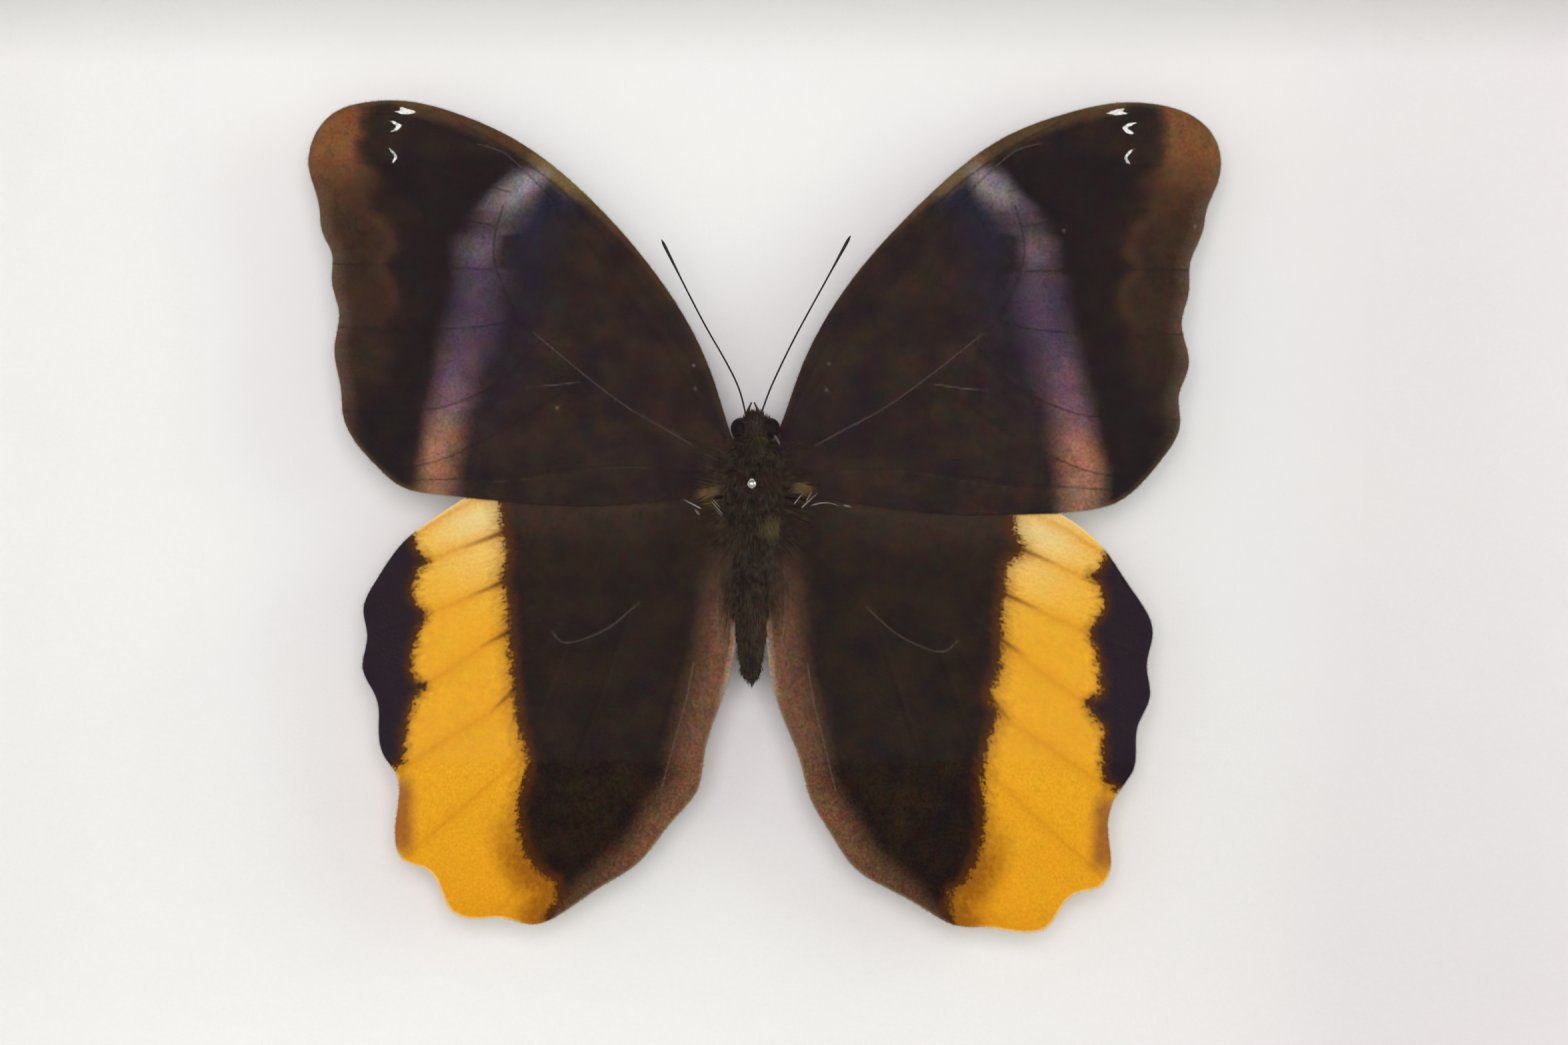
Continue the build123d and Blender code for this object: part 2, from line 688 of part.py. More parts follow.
def main():
    os.makedirs("parts", exist_ok=True)
    frames = {
        "case_rail": case_rails(),
        "liner": liners(),
        "lid_rail": lid_rails(),
        "glazing_bead": glazing_beads(),
    }
    for name, members in frames.items():
        for side, shape in members.items():
            write(f"{name}_{side}", shape)
    for place, height in zip(("lower", "upper"), hinge_heights):
        for name, shape in hinge_parts(height).items():
            write(f"hinge_{place}_{name}", shape)
    for place, height in zip(("lower", "upper"), hook_heights):
        write(f"hook_{place}", hook(height))
    for place, side in (("left", -1), ("right", 1)):
        write(f"hanger_strap_{place}", hanger_strap(side))
        write(f"hanger_ring_{place}", hanger_ring(side))
    write("back_panel", back_panel())
    write("panel_points", panel_points())
    write("foam_base", foam_base())
    write("ground_paper", ground_paper())
    write("dust_seal", dust_seal())
    write("glass_pane", glass_pane())
    case_heads, lid_heads = hinge_screw_heads(case_leaf_face_y), hinge_screw_heads(lid_leaf_face_y)
    write("hinge_case_screws", [countersunk_screw(top, INTO_BACK) for top in case_heads])
    write("hinge_lid_screws", [countersunk_screw(top, INTO_FRONT) for top in lid_heads])
    write("hook_pivot_screws", [pan_screw(seat, INTO_LEFT) for seat in hook_pivot_seats()])
    write("hook_washers", hook_washers())
    write("keeper_screws", [pan_screw(seat, INTO_LEFT) for seat in keeper_seats()])
    write("hanger_screws", [pan_screw(seat, INTO_FRONT) for seat in hanger_screw_seats()])
    write("bumpers", bumpers())
    write("insect_pin", insect_pin())
    write("pin_head", pin_head())
    write("thorax", thorax())
    write("abdomen", abdomen())
    write("head", head())
    write("eyes", eyes())
    write("palps", palps())
    write("antenna_left", antenna(antenna_left_route))
    write("antenna_right", antenna(antenna_right_route))
    write("legs", legs())
    fore_y = wing_y - wing_spacing / 2 - wing_thickness
    hind_y = wing_y + wing_spacing / 2
    write("forewing_left", wing(forewing_left, fore_y))
    write("forewing_right", wing(forewing_right, fore_y))
    write("hindwing_left", wing(hindwing_left, hind_y))
    write("hindwing_right", wing(hindwing_right, hind_y))


main()
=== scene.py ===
import json
import math

import bmesh
import bpy
import numpy as np
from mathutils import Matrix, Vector, geometry, noise

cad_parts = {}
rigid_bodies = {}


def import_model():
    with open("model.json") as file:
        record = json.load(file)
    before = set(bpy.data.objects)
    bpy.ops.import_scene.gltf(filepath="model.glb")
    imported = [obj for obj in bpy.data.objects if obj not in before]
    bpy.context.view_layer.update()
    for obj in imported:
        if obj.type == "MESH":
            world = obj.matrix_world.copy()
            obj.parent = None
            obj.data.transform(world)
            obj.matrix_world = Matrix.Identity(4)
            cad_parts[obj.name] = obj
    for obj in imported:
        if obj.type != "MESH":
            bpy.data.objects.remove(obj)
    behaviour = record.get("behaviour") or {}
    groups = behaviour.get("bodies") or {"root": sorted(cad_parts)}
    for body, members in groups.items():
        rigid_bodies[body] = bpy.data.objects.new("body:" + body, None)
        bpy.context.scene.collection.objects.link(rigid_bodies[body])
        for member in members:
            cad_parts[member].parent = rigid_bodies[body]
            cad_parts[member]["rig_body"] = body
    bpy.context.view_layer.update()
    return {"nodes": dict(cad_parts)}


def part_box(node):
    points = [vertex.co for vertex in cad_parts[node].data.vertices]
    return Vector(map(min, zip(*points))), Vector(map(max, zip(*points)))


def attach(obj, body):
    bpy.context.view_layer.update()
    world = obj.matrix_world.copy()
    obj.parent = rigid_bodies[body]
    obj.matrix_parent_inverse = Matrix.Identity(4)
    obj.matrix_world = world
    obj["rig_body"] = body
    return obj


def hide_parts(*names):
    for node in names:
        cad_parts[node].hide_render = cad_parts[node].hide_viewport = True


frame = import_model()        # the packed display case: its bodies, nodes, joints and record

bl_info = {
    "name": "Butterfly display case",
    "version": (1, 0, 0),
    "blender": (4, 5, 0),
    "location": "3D View > Sidebar > Display case",
    "description": "Wings, fur, wood, glass and brass for a display case with one spread butterfly",
    "category": "Object",
}

MM = 0.001
SAME_PLACE = 1e-6    # two points that are closer than this are one


# ---- Places taken from the frame -----------------------------------------------------------------
def middle_of(node):
    """Centre of a CAD node's box, in metres."""
    low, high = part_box(node)
    return (low + high) / 2


pin_top = middle_of("pin_head")
fore_face_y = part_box("forewing_left")[0].y
hind_face_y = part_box("hindwing_left")[0].y
body_y = middle_of("abdomen").y
feeler_y = middle_of("antenna_left").y


def from_pin(across, y, up):
    """Point given in millimetres across and up from the pin, and in metres from front to back."""
    return Vector((pin_top.x + across * MM, y, pin_top.z + up * MM))


# ---- Colour and node helpers ---------------------------------------------------------------------
def linear(code):
    """Linear red, green, blue and alpha of an sRGB hex code."""
    parts = [int(code[start:start + 2], 16) / 255 for start in (1, 3, 5)]
    return tuple(p / 12.92 if p <= 0.04045 else ((p + 0.055) / 1.055) ** 2.4 for p in parts) + (1.0,)


def rgba(colour):
    """Linear channels and alpha of an sRGB hex code or of a colour property. A node passes through."""
    if isinstance(colour, bpy.types.Node):
        return colour
    return linear(colour) if isinstance(colour, str) else (*colour, 1.0)


def per(size):
    """Texture scale at which one feature is this many millimetres across."""
    return 1 / (size * MM)


def feed(tree, socket, value):
    """Sets an input to a value, or links it to an output or to a node's first output in use."""
    if isinstance(value, bpy.types.Node):
        value = next(output for output in value.outputs if output.enabled)
    if isinstance(value, bpy.types.NodeSocket):
        tree.links.new(value, socket)
    else:
        socket.default_value = value


def add(tree, kind, inputs=None, stops=None, **settings):
    """Adds one node with its settings and ramp stops, and sets or links its inputs by name or number."""
    node = tree.nodes.new(kind)
    for key, value in settings.items():
        setattr(node, key, value)
    if stops:
        ramp = node.color_ramp.elements
        ramp.remove(ramp[-1])
        ramp[0].position, ramp[0].color = stops[0][0], rgba(stops[0][1])
        for place, colour in stops[1:]:
            ramp.new(place).color = rgba(colour)
    for key, value in (inputs or {}).items():
        named = [socket for socket in node.inputs if socket.identifier == key]
        feed(tree, named[0] if named else node.inputs[key], value)
    return node


def surface(name, **inputs):
    """New material and its tree, with one Principled shader. Its inputs are named with _ for a space."""
    made = bpy.data.materials.new(name)
    made.use_nodes = True
    tree = made.node_tree
    for key, value in inputs.items():
        tree.nodes["Principled BSDF"].inputs[key.replace("_", " ")].default_value = value
    return made, tree


def patterns(tree, *kinds):
    """The object's own coordinates, and a noise for each pair of a feature's millimetres and its detail."""
    place = add(tree, "ShaderNodeTexCoord").outputs["Object"]
    noises = [add(tree, "ShaderNodeTexNoise", {"Vector": place, "Scale": per(size), "Detail": detail})
              for size, detail in kinds]
    return place, *noises


def drawn_out(tree, place, scale, size, detail, wander=0.0):
    """A noise drawn out along one axis, whose features are a number of millimetres across it."""
    along = add(tree, "ShaderNodeMapping", {"Vector": place, "Scale": scale})
    return add(tree, "ShaderNodeTexNoise", {
        "Vector": along, "Scale": per(size), "Detail": detail, "Distortion": wander})


def finished(made, colour, grain=None, height=0.0):
    """A material given its colour and, with a height in millimetres, the relief of a grain."""
    tree = made.node_tree
    shader = tree.nodes["Principled BSDF"]
    feed(tree, shader.inputs["Base Color"], colour)
    if height:
        relief = add(tree, "ShaderNodeBump", {"Height": grain, "Distance": height * MM, "Strength": 0.6})
        feed(tree, shader.inputs["Normal"], relief)
    return made


def patterned(name, kind, stops, height=0.0, **inputs):
    """A material whose colour and relief follow one noise."""
    made, tree = surface(name, **inputs)
    grain = patterns(tree, kind)[1]
    return finished(made, add(tree, "ShaderNodeValToRGB", {"Fac": grain}, stops=stops), grain, height)


def paint(tree, ground, coats):
    """Lays coats over a ground colour. Each coat is a mask and the colour that it lets through."""
    for mask, colour in coats:
        layer = {"Factor_Float": mask, "A_Color": rgba(ground), "B_Color": rgba(colour)}
        ground = add(tree, "ShaderNodeMix", layer, data_type="RGBA")
    return ground


def mask_of(tree, value, low, high, strength=1.0):
    """Mask that rises smoothly from 0, where a value is low, to its strength, where it is high."""
    limits = {"Value": value, "From Min": low, "From Max": high, "To Max": strength}
    return add(tree, "ShaderNodeMapRange", limits, interpolation_type="SMOOTHSTEP")


def broken_edge(tree, distance, grain, ragged, soft, grown_by=0.0, strength=1.0):
    """Mask of a patch, from its inward distance, whose edge is broken up by single wing scales."""
    read = add(tree, "ShaderNodeAttribute", attribute_name=distance).outputs["Fac"]
    jitter = {0: grain, 1: 2 * ragged, 2: grown_by - ragged}
    shift = add(tree, "ShaderNodeMath", jitter, operation="MULTIPLY_ADD")
    edge = add(tree, "ShaderNodeMath", {0: read, 1: shift}, operation="ADD")
    return mask_of(tree, edge, -soft, soft, strength)


def thin_line(tree, distance, width, strength):
    """Mask of a line, strongest where its distance attribute is 0."""
    read = add(tree, "ShaderNodeAttribute", attribute_name=distance).outputs["Fac"]
    return mask_of(tree, read, width, 0.0, strength)


def soft_mask(tree, name, grain, share):
    """A painted attribute, thinned here and there by grain."""
    read = add(tree, "ShaderNodeAttribute", attribute_name=name).outputs["Fac"]
    patchy = add(tree, "ShaderNodeMath", {0: grain, 1: 2 * share, 2: 1 - share}, operation="MULTIPLY_ADD")
    return add(tree, "ShaderNodeMath", {0: read, 1: patchy}, operation="MULTIPLY", use_clamp=True)


# ---- Settings ------------------------------------------------------------------------------------
def tint(name, code, description):
    """Colour property that starts at an sRGB hex code."""
    return bpy.props.FloatVectorProperty(
        name=name, description=description, default=linear(code)[:3], subtype="COLOR", size=3,
        min=0.0, max=1.0)


def length(name, millimetres, description):
    """Length property, in metres, that starts at a number of millimetres."""
    return bpy.props.FloatProperty(
        name=name, description=description, default=millimetres * MM, subtype="DISTANCE", unit="LENGTH",
        min=0.0, precision=5)


def watts(name, power, description):
    """Property for the power of a light."""
    return bpy.props.FloatProperty(name=name, description=description, default=power, unit="POWER")


class WingLooks(bpy.types.PropertyGroup):
    """Relief and colours of the four wings."""

    spacing: length("Mesh spacing", 0.34, "Distance between the points of a wing's mesh")
    thickness: length("Thickness", 0.1, "Thickness of the wing membrane with its scales")
    vein_height: length("Vein height", 0.09, "How far a vein stands out of the membrane")
    pleat_depth: length("Pleat depth", 0.16, "How far the membrane dips between two veins")
    tip_fall: length("Tip fall", 0.9, "How far a wing falls back at its tip")
    fringe: length("Fringe", 0.3, "Length of the hair scales along a wing's margin")
    brown: tint("Brown", "#291d1a", "Ground colour near the body")
    dusk: tint("Dusk", "#1c1415", "Darkest brown, beyond the forewing's band")
    # Painted sheen: the blue iridescence of the scales, which changes with the view, laid down as a fixed
    # colour
    sheen: tint("Blue sheen", "#201d2d", "Violet blue on the body side of the forewing's band")
    tan: tint("Tip tan", "#784d2b", "Tan of the forewing's tip")
    margin: tint("Margin brown", "#2d1f18", "Warm brown along the forewing's outer margin")
    costa: tint("Leading edge", "#523c23", "Golden brown along the forewing's leading edge")
    white: tint("White marks", "#e6e2e0", "Crescents near the forewing's tip")
    black: tint("Black", "#241b22", "Outer patches of the hindwing")
    wine: tint("Wine brown", "#4a2810", "Fringe of colour round the hindwing's dark fields")
    tawny: tint("Tawny", "#8a5a1c", "Where the hindwing's orange darkens towards its dark fields")
    fold: tint("Inner fold", "#6c4a35", "Pinkish brown of the hindwing's inner margin")
    under: tint("Underside", "#5b4a38", "Mottled brown of the wings' undersides")


class BodyLooks(bpy.types.PropertyGroup):
    """Fur, eyes and feelers of the butterfly's body."""

    fur_length: length("Fur length", 1.5, "Length of the longest hairs on the thorax")
    fur_width: length("Fur width", 0.1, "Width of a hair at its root, drawn coarse enough to show")
    fur_count: bpy.props.IntProperty(
        name="Fur count", description="Hairs to the square centimetre", default=1600, min=10)
    fur_dark: tint("Dark fur", "#1d1612", "Darkest hairs")
    fur_brown: tint("Brown fur", "#32271f", "Hairs between the dark and the olive ones")
    fur_olive: tint("Olive fur", "#413a2a", "Palest common hairs")
    base: tint("Wing base hair", "#3a2c22", "Hairs over the roots of the wings")
    palp: tint("Palps", "#4f3a35", "Scaled mouth parts in front of the head")
    # Pale hairs whose colour is partly a painted highlight, where shiny strands at the wing bases glint
    silver_glint: tint("Silver hairs", "#e2dcd8", "Long pale hairs at the wing bases")
    eye: tint("Eye", "#1b1012", "Compound eyes")
    feeler: tint("Feeler", "#2b211c", "Antennae and legs")


class CaseLooks(bpy.types.PropertyGroup):
    """Materials of the case."""

    edge: length("Edge softness", 0.35, "Width of the sanded arris along wooden edges")
    wood_dark: tint("Late wood", "#3a2113", "Darker wood between growth rings")
    wood_light: tint("Early wood", "#7a4d2d", "Paler wood of a growth ring")
    ring: length("Growth ring", 2.2, "Distance between growth rings across the grain")
    paper: tint("Paper", "#f6f4f3", "Ground paper behind the butterfly")
    liner: tint("Liner", "#f1f0ee", "Paper-covered liner boards")
    panel: tint("Panel", "#bd9b6d", "Birch plywood back")
    felt: tint("Felt", "#26272a", "Dust seal")
    foam: tint("Foam", "#e4e2dc", "Foam sheet under the paper")
    brass: tint("Brass", "#d3b67c", "Hinges, hooks and screws")
    zinc: tint("Zinc plate", "#b9bdc2", "Hangers and back panel points")
    rubber: tint("Rubber", "#1d1d1f", "Wall bumpers")


class StudioLooks(bpy.types.PropertyGroup):
    """Camera, light and floor."""

    distance: length("Viewing distance", 450.0, "From the camera to the wings")
    view_width: length("View width", 235.2, "Width of the view at the wings")
    light_distance: length("Light distance", 900.0, "From the soft lights to the wings")
    light_width: length("Light width", 500.0, "Width of each square soft light")
    front_watts: watts("Front light", 6.0, "Power of the light behind the camera")
    right_watts: watts("Right light", 7.6, "Power of the light low on the right")
    left_watts: watts("Left light", 1.3, "Power of the weak light on the left")
    sky: tint("Sky", "#7f7f81", "Even light from all round")
    floor: tint("Floor", "#d9d8d6", "Plain pale floor")


# ---- Wing outlines, veins and patches ------------------------------------------------------------
# Everything here is millimetres across and up from the pin. Paths are given for the left wings alone and
# carried to the right ones by three places that both sides share. Patches are given for either side.
fore_places = {"left": [(-4, 4), (-66.8, 47.6), (-54, -1)], "right": [(4, 4), (69.9, 47), (56, -2.5)]}
hind_places = {"left": [(-3, -3), (-58.6, -19), (-44, -65)], "right": [(3, -3), (60.1, -22.3), (43, -67)]}

fore_veins = [
    [(-4, 7), (-12, 23.5), (-26, 41.5), (-36, 49.8), (-44, 54.5)],
    [(-4, 6.5), (-13.5, 21.5), (-24, 35.5), (-33.9, 46.8), (-41.5, 51.3), (-52, 55.5), (-60, 56)],
    [(-36.5, 44), (-50, 47.6), (-66, 49)],
    [(-38.8, 39), (-50, 41), (-64.8, 42.5)],
    [(-39.2, 32.4), (-44, 32.6), (-50, 32.9), (-63.3, 33.3)],
    [(-35.5, 25.3), (-38.5, 24.2), (-44, 23.6), (-52, 23.3), (-62.5, 23.8)],
    [(-31.5, 22), (-38, 15.5), (-46, 11.9), (-51, 11.4), (-61.6, 11.2)],
    [(-25, 16.3), (-40, 7), (-50, 3), (-58.5, 3.6)],
    [(-4, 4.5), (-13, 8.3), (-19, 11.8), (-25, 16.3), (-35.5, 25.3)],
    [(-37.5, 42), (-38.8, 37.3), (-38.6, 32.8), (-35.5, 25.3)],
    [(-4, 1.5), (-20, 2.9), (-40, 1.2), (-54.5, 0.6)],
]
fore_streaks = [
    [(-9, 6), (-13, 8.3), (-19, 11.8), (-25, 16.3), (-33, 23)],
    [(-41.5, 51.3), (-37.5, 50), (-33.9, 46.8)],
    [(-34, 14.8), (-30, 15), (-26, 15.5)],
]
fore_faint_streaks = [[(-12, 2.4), (-22, 2.6), (-35, 0.8), (-46, 0.3)]]
# Small pale marks painted where the forewings glint, as painted highlights: millimetres across and up from
# the pin, for either side.
fore_glints = {
    "left": [(-29.4, 11.6), (-8.9, 18), (-8.7, 14.5)],
    "right": [(11, 14.3), (46.7, 38.3), (66.5, 39), (11.4, 18.2)],
}
leading_edge = [(-3.9, 9.3), (-9, 22.9), (-14.3, 31.3), (-20.6, 39), (-27.7, 46), (-35.7, 51.9), (-44.8, 56),
                (-52.1, 57.8)]
hind_veins = [
    [(-4, -1.5), (-15, 1), (-30, 0.5), (-42, -2.5), (-50, -6.8)],
    [(-4, -3), (-20, -4), (-37.5, -7.2), (-49, -11.4), (-56, -13.8)],
    [(-26, -10), (-37.5, -14.7), (-49.2, -19.4), (-58, -22.5)],
    [(-28, -15), (-37, -21.7), (-49, -30), (-56.7, -34.8)],
    [(-29.5, -21), (-36.5, -31.7), (-45, -37.5), (-54, -43.5)],
    [(-28, -23.7), (-34.5, -39.2), (-42, -47), (-53, -56.3)],
    [(-18, -17.7), (-26, -40), (-33, -57), (-39, -65)],
    [(-4, -4.5), (-10, -10.5), (-18, -17.7), (-28, -23.7)],
    [(-4, -5), (-10, -25), (-15, -42), (-22, -59)],
    [(-3.5, -6), (-6.5, -22), (-9, -38), (-11, -49)],
]
hind_streaks = [
    [(-17, -17.5), (-22, -21.6), (-28, -23.7), (-30.5, -21.8)],
    [(-5, -13), (-5.4, -19), (-5, -25)],
    [(-8.9, -26.5), (-10, -32), (-12, -39.2), (-13.8, -45.7)],
]
inner_edge = [(-1.6, -10), (-2.4, -20), (-3.4, -28), (-5.4, -34), (-7.3, -40.2), (-8.4, -45.8),
              (-12.4, -50.7), (-17, -56.5), (-23.4, -60.7), (-28.5, -64.2)]

# The pale band of each forewing, from its hind end up: height, distance out from the pin of its brightest
# line, and how far it fades outwards and towards the body.
band_line = {
    "left": [(-1, 47.8, 4, 5), (3, 47.8, 3.6, 5.4), (7, 47.4, 3.4, 6), (11, 46.3, 4, 5),
             (12, 45.6, 4.6, 5.6), (17, 45.2, 3.8, 6.4), (22, 43.8, 4.8, 8), (23.6, 43.4, 5, 8),
             (24.2, 42.4, 5.8, 6.6), (29, 41.6, 5.2, 6), (32.2, 41.2, 5.6, 6.6), (32.8, 40.6, 6, 3.2),
             (37.4, 40, 6.6, 3.2), (38.2, 39.2, 6, 7), (40, 38.4, 6, 7), (42, 37, 5.8, 5.8),
             (44, 35.4, 5.6, 4.8), (47, 32.4, 5.4, 3.6)],
    "right": [(-1, 49.6, 4.8, 5.6), (3, 49.8, 4.8, 6), (7, 49.3, 4, 6.4), (11, 48.7, 4, 6),
              (12, 48.2, 4.4, 5.8), (17, 47.2, 4, 7.2), (22, 45.6, 5, 8), (23.2, 45.2, 5.2, 7.6),
              (23.8, 44.2, 6, 6.6), (28, 43.2, 6.2, 6.6), (31.8, 42.8, 6, 6), (32.4, 42.2, 5.6, 3.4),
              (37.4, 41.8, 5.8, 2.8), (38.2, 41.2, 5.4, 7), (40, 40.2, 5.4, 6.4), (42, 38.2, 5.6, 5.6),
              (44, 36, 5.4, 4.4), (47, 34, 5, 3.4)],
}
band_strength = {"left": (1, 0.95), "right": (0.84, 0.86)}
tip_strength = {"left": 1, "right": 0.88}
tip_patch = {
    "left": [(-58, 58.8), (-58.6, 55.3), (-59, 52.8), (-59.6, 51), (-58.9, 48.6), (-58.1, 46.3), (-58, 43.6),
             (-57.4, 41.6), (-55.1, 40), (-53.8, 37.8), (-53.4, 35.6), (-55, 33.3), (-53.8, 30.8),
             (-53.1, 26.8), (-55, 23.8), (-54.1, 20.8), (-54.5, 16.8), (-57, 12.8), (-61, 8.8), (-69, 8.8),
             (-69, 58.8)],
    "right": [(61.5, 58.8), (62, 54.8), (61.9, 52.3), (62.2, 50.8), (61.5, 48.3), (60.4, 45.8), (59.8, 43.3),
              (59.2, 41), (57, 39), (56, 36.8), (55.5, 34.3), (56.9, 32.8), (55.2, 30.3), (54.6, 26.8),
              (56.2, 24), (55.9, 20.8), (56, 16.8), (58.2, 12.8), (62, 7.8), (72, 7.8), (72, 58.8)],
}
tip_blotches = {
    "left": [
        [(-58.9, 55.6), (-55.5, 55.2), (-53.1, 54), (-55.4, 52.9), (-58.9, 53)],
        [(-59.4, 52.2), (-55.8, 52.2), (-53.5, 50.2), (-54.4, 48.6), (-58.5, 48.8), (-59.4, 50.8)],
        [(-58.9, 57.4), (-53.1, 57.1), (-53.8, 56), (-58.5, 56.2)],
    ],
    "right": [
        [(61.6, 54.6), (58.2, 54.8), (56, 53.8), (57.6, 52.6), (61.5, 52.6)],
        [(61.5, 51.4), (57.6, 51.2), (56, 49.6), (57, 48), (61, 48.4)],
        [(61.2, 57.2), (56, 56.8), (56.9, 55.8), (60.9, 56.2)],
    ],
}
white_marks = {
    "left": [
        [(-54, 56.2), (-53, 56.4), (-53.2, 57), (-52.1, 56.7), (-50.5, 56.1), (-51.8, 55.8), (-53.1, 55.9)],
        [(-55, 55), (-53.8, 54.7), (-52.8, 54.1), (-53.4, 53.5), (-54.8, 53), (-53.5, 54.05)],
        [(-54.8, 50.8), (-54, 50.2), (-53.5, 49.3), (-54, 48.6), (-54.5, 48.4), (-53.85, 49.35)],
    ],
    "right": [
        [(53, 56), (54.9, 56.6), (56, 56.7), (55.6, 56.2), (56.6, 55.9), (54.6, 55.7)],
        [(58, 54.7), (56.5, 54.5), (55.5, 53.8), (56.2, 53), (57.6, 52.8), (56.2, 53.8)],
        [(57.4, 50.7), (56.5, 50.3), (55.8, 49.3), (56.2, 48.5), (56.7, 48.3), (56.2, 49.35)],
    ],
}
black_patch = {
    "left": [(-53, -6.2), (-50.8, -7.8), (-50.4, -9.4), (-48.8, -11.4), (-50.2, -13.2), (-50.9, -16.7),
             (-49, -19.4), (-50.2, -22.2), (-51.2, -26.2), (-50.8, -28.8), (-49, -30.1), (-50.5, -32),
             (-51.5, -34.7), (-52.2, -37.7), (-52.4, -40.7), (-53, -42.2), (-57, -43.2), (-63, -37.2),
             (-63, -12.2)],
    "right": [(54.2, -9.4), (52.5, -11.2), (52, -12.4), (50.5, -13.5), (51.9, -15.2), (52.5, -18.4),
              (50.5, -21.9), (51.5, -25.2), (52, -28.4), (52, -31.2), (50, -32.4), (51, -35), (52.5, -36.7),
              (52.4, -40.2), (52.6, -44), (53.8, -45.6), (59, -46.2), (63, -32.2), (61, -12.2)],
}
dark_field = {
    "left": [(-3, 2.8), (-37.8, 2.8), (-38, -2.7), (-37.9, -6.2), (-37.2, -10.2), (-37.8, -14),
             (-37.1, -17.2), (-36.9, -21.7), (-36.4, -27.2), (-36, -31.2), (-35.6, -35.2), (-34.5, -39.2),
             (-34.1, -42.2), (-35.4, -47.2), (-35.4, -51.2), (-34, -56), (-31.8, -58.6), (-29.8, -59.8),
             (-29.6, -61.7), (-29.1, -67.2), (-1, -67.2), (-1, 2.8)],
    "right": [(2, 2.8), (38.2, 2.8), (39.2, -4.7), (39.6, -7.2), (40.6, -9.8), (38.2, -12.2), (38.1, -15.2),
              (37.5, -18.2), (37.4, -23.2), (37, -28.2), (35.6, -31.7), (36.8, -34.2), (36, -37.2),
              (34.9, -41.2), (34.5, -45.2), (35, -50.2), (34, -55.7), (31.9, -59.7), (29.6, -62),
              (28.1, -69.2), (1, -69.2), (1, 2.8)],
}
# Spots of colour in the fur: millimetres across and up from the pin, radius, strength and colour.
fur_spots = [(3, -6.6, 2.7, 0.6, "#665830"), (1.2, 7.2, 2, 0.6, "#5c5328"), (0.4, 9, 2.2, 0.8, "#4a3739"),
             (2.6, 0.4, 2.4, 0.7, "#3f261d"), (-2.2, 1.2, 2.2, 0.5, "#3f261d"),
             (-3, -8.5, 2.6, 0.6, "#4a3b2c"), (0.2, -22, 6, 0.6, "#4a372a")]
base_spots = [(-6.6, -1.5, 2.6, 1, "#6e5933"), (7.7, -1, 2.4, 1.1, "#7a6238"), (-5, -12, 4, 0.7, "#4f402e"),
              (5, -12, 4, 0.5, "#4a3a2e")]
field_spurs = {
    "left": [
        [(-36.6, -6.7), (-44, -9.6)],
        [(-36.6, -14.2), (-43, -16.8)],
        [(-36.4, -21.9), (-41, -24.3)],
        [(-35.4, -30.3), (-39.6, -34.2)],
    ],
    "right": [
        [(38.4, -8.8), (46, -12)],
        [(37, -16), (43.4, -18.8)],
        [(36.5, -22.7), (41.4, -26)],
        [(35.5, -31.6), (38.8, -35.6)],
    ],
}


def carry(points, places, there):
    """Carries points by the one affine map that takes three places to three others."""
    known = np.column_stack([places, np.ones(3)])
    points = np.column_stack([points, np.ones(len(points))])
    return points @ np.linalg.solve(known, np.asarray(there, float))


def rounded(corners, closed, steps=5):
    """Curve through given corners, as points along a Catmull-Rom spline."""
    corners = np.asarray(corners, float)
    if closed:
        around = np.vstack([corners[-1:], corners, corners[:2]])
    else:
        around = np.vstack([2 * corners[0] - corners[1], corners, 2 * corners[-1] - corners[-2]])
    share = np.linspace(0, 1, steps, endpoint=False)[:, None]
    made = []
    for before, start, end, after in zip(around, around[1:], around[2:], around[3:]):
        bend = 2 * before - 5 * start + 4 * end - after
        twist = 3 * start - before - 3 * end + after
        made.append((2 * start + (end - before) * share + bend * share**2 + twist * share**3) / 2)
    return np.vstack(made if closed else made + [corners[-1:]])


def beside(points, start, end):
    """How far along a segment each point lies, from 0 to 1, and how far it lies from the segment."""
    along = end - start
    share = np.clip(((points - start) @ along) / max(along @ along, SAME_PLACE**2), 0, 1)
    return share, np.linalg.norm(points - start - share[:, None] * along, axis=1)


def from_path(points, path):
    """Distance of each point from a path of straight segments."""
    best = np.full(len(points), np.inf)
    for start, end in zip(path, path[1:]):
        best = np.minimum(best, beside(points, start, end)[1])
    return best


def inward(points, outline):
    """Distance in from a closed outline: above 0 inside it and below 0 outside."""
    starts, ends = outline, np.roll(outline, -1, axis=0)
    crossings = np.zeros(len(points), int)
    for start, end in zip(starts, ends):
        spans = (start[1] > points[:, 1]) != (end[1] > points[:, 1])
        rise = end[1] - start[1] if end[1] != start[1] else 1.0
        meets = start[0] + (points[:, 1] - start[1]) * (end[0] - start[0]) / rise
        crossings += spans & (points[:, 0] < meets)
    gap = from_path(points, np.vstack([outline, outline[:1]]))
    return np.where(crossings % 2 == 1, gap, -gap)


def ease(low, high, value):
    """0 below low, 1 above high, and smooth between them. low may be the larger."""
    share = np.clip((value - low) / (high - low), 0, 1)
    return share * share * (3 - 2 * share)


def nearest_path(points, paths):
    """Distance of each point from the nearest of several given paths."""
    return np.min([from_path(points, rounded(path, False)) for path in paths], axis=0)


def spur(points, root, tip, half_width):
    """Mask of a streak that narrows and fades from its root to its tip."""
    share, gap = beside(points, *np.array([root, tip], float))
    return (1 - share) ** 0.7 * ease(1, 0, gap / (half_width * (1 - share / 2)))


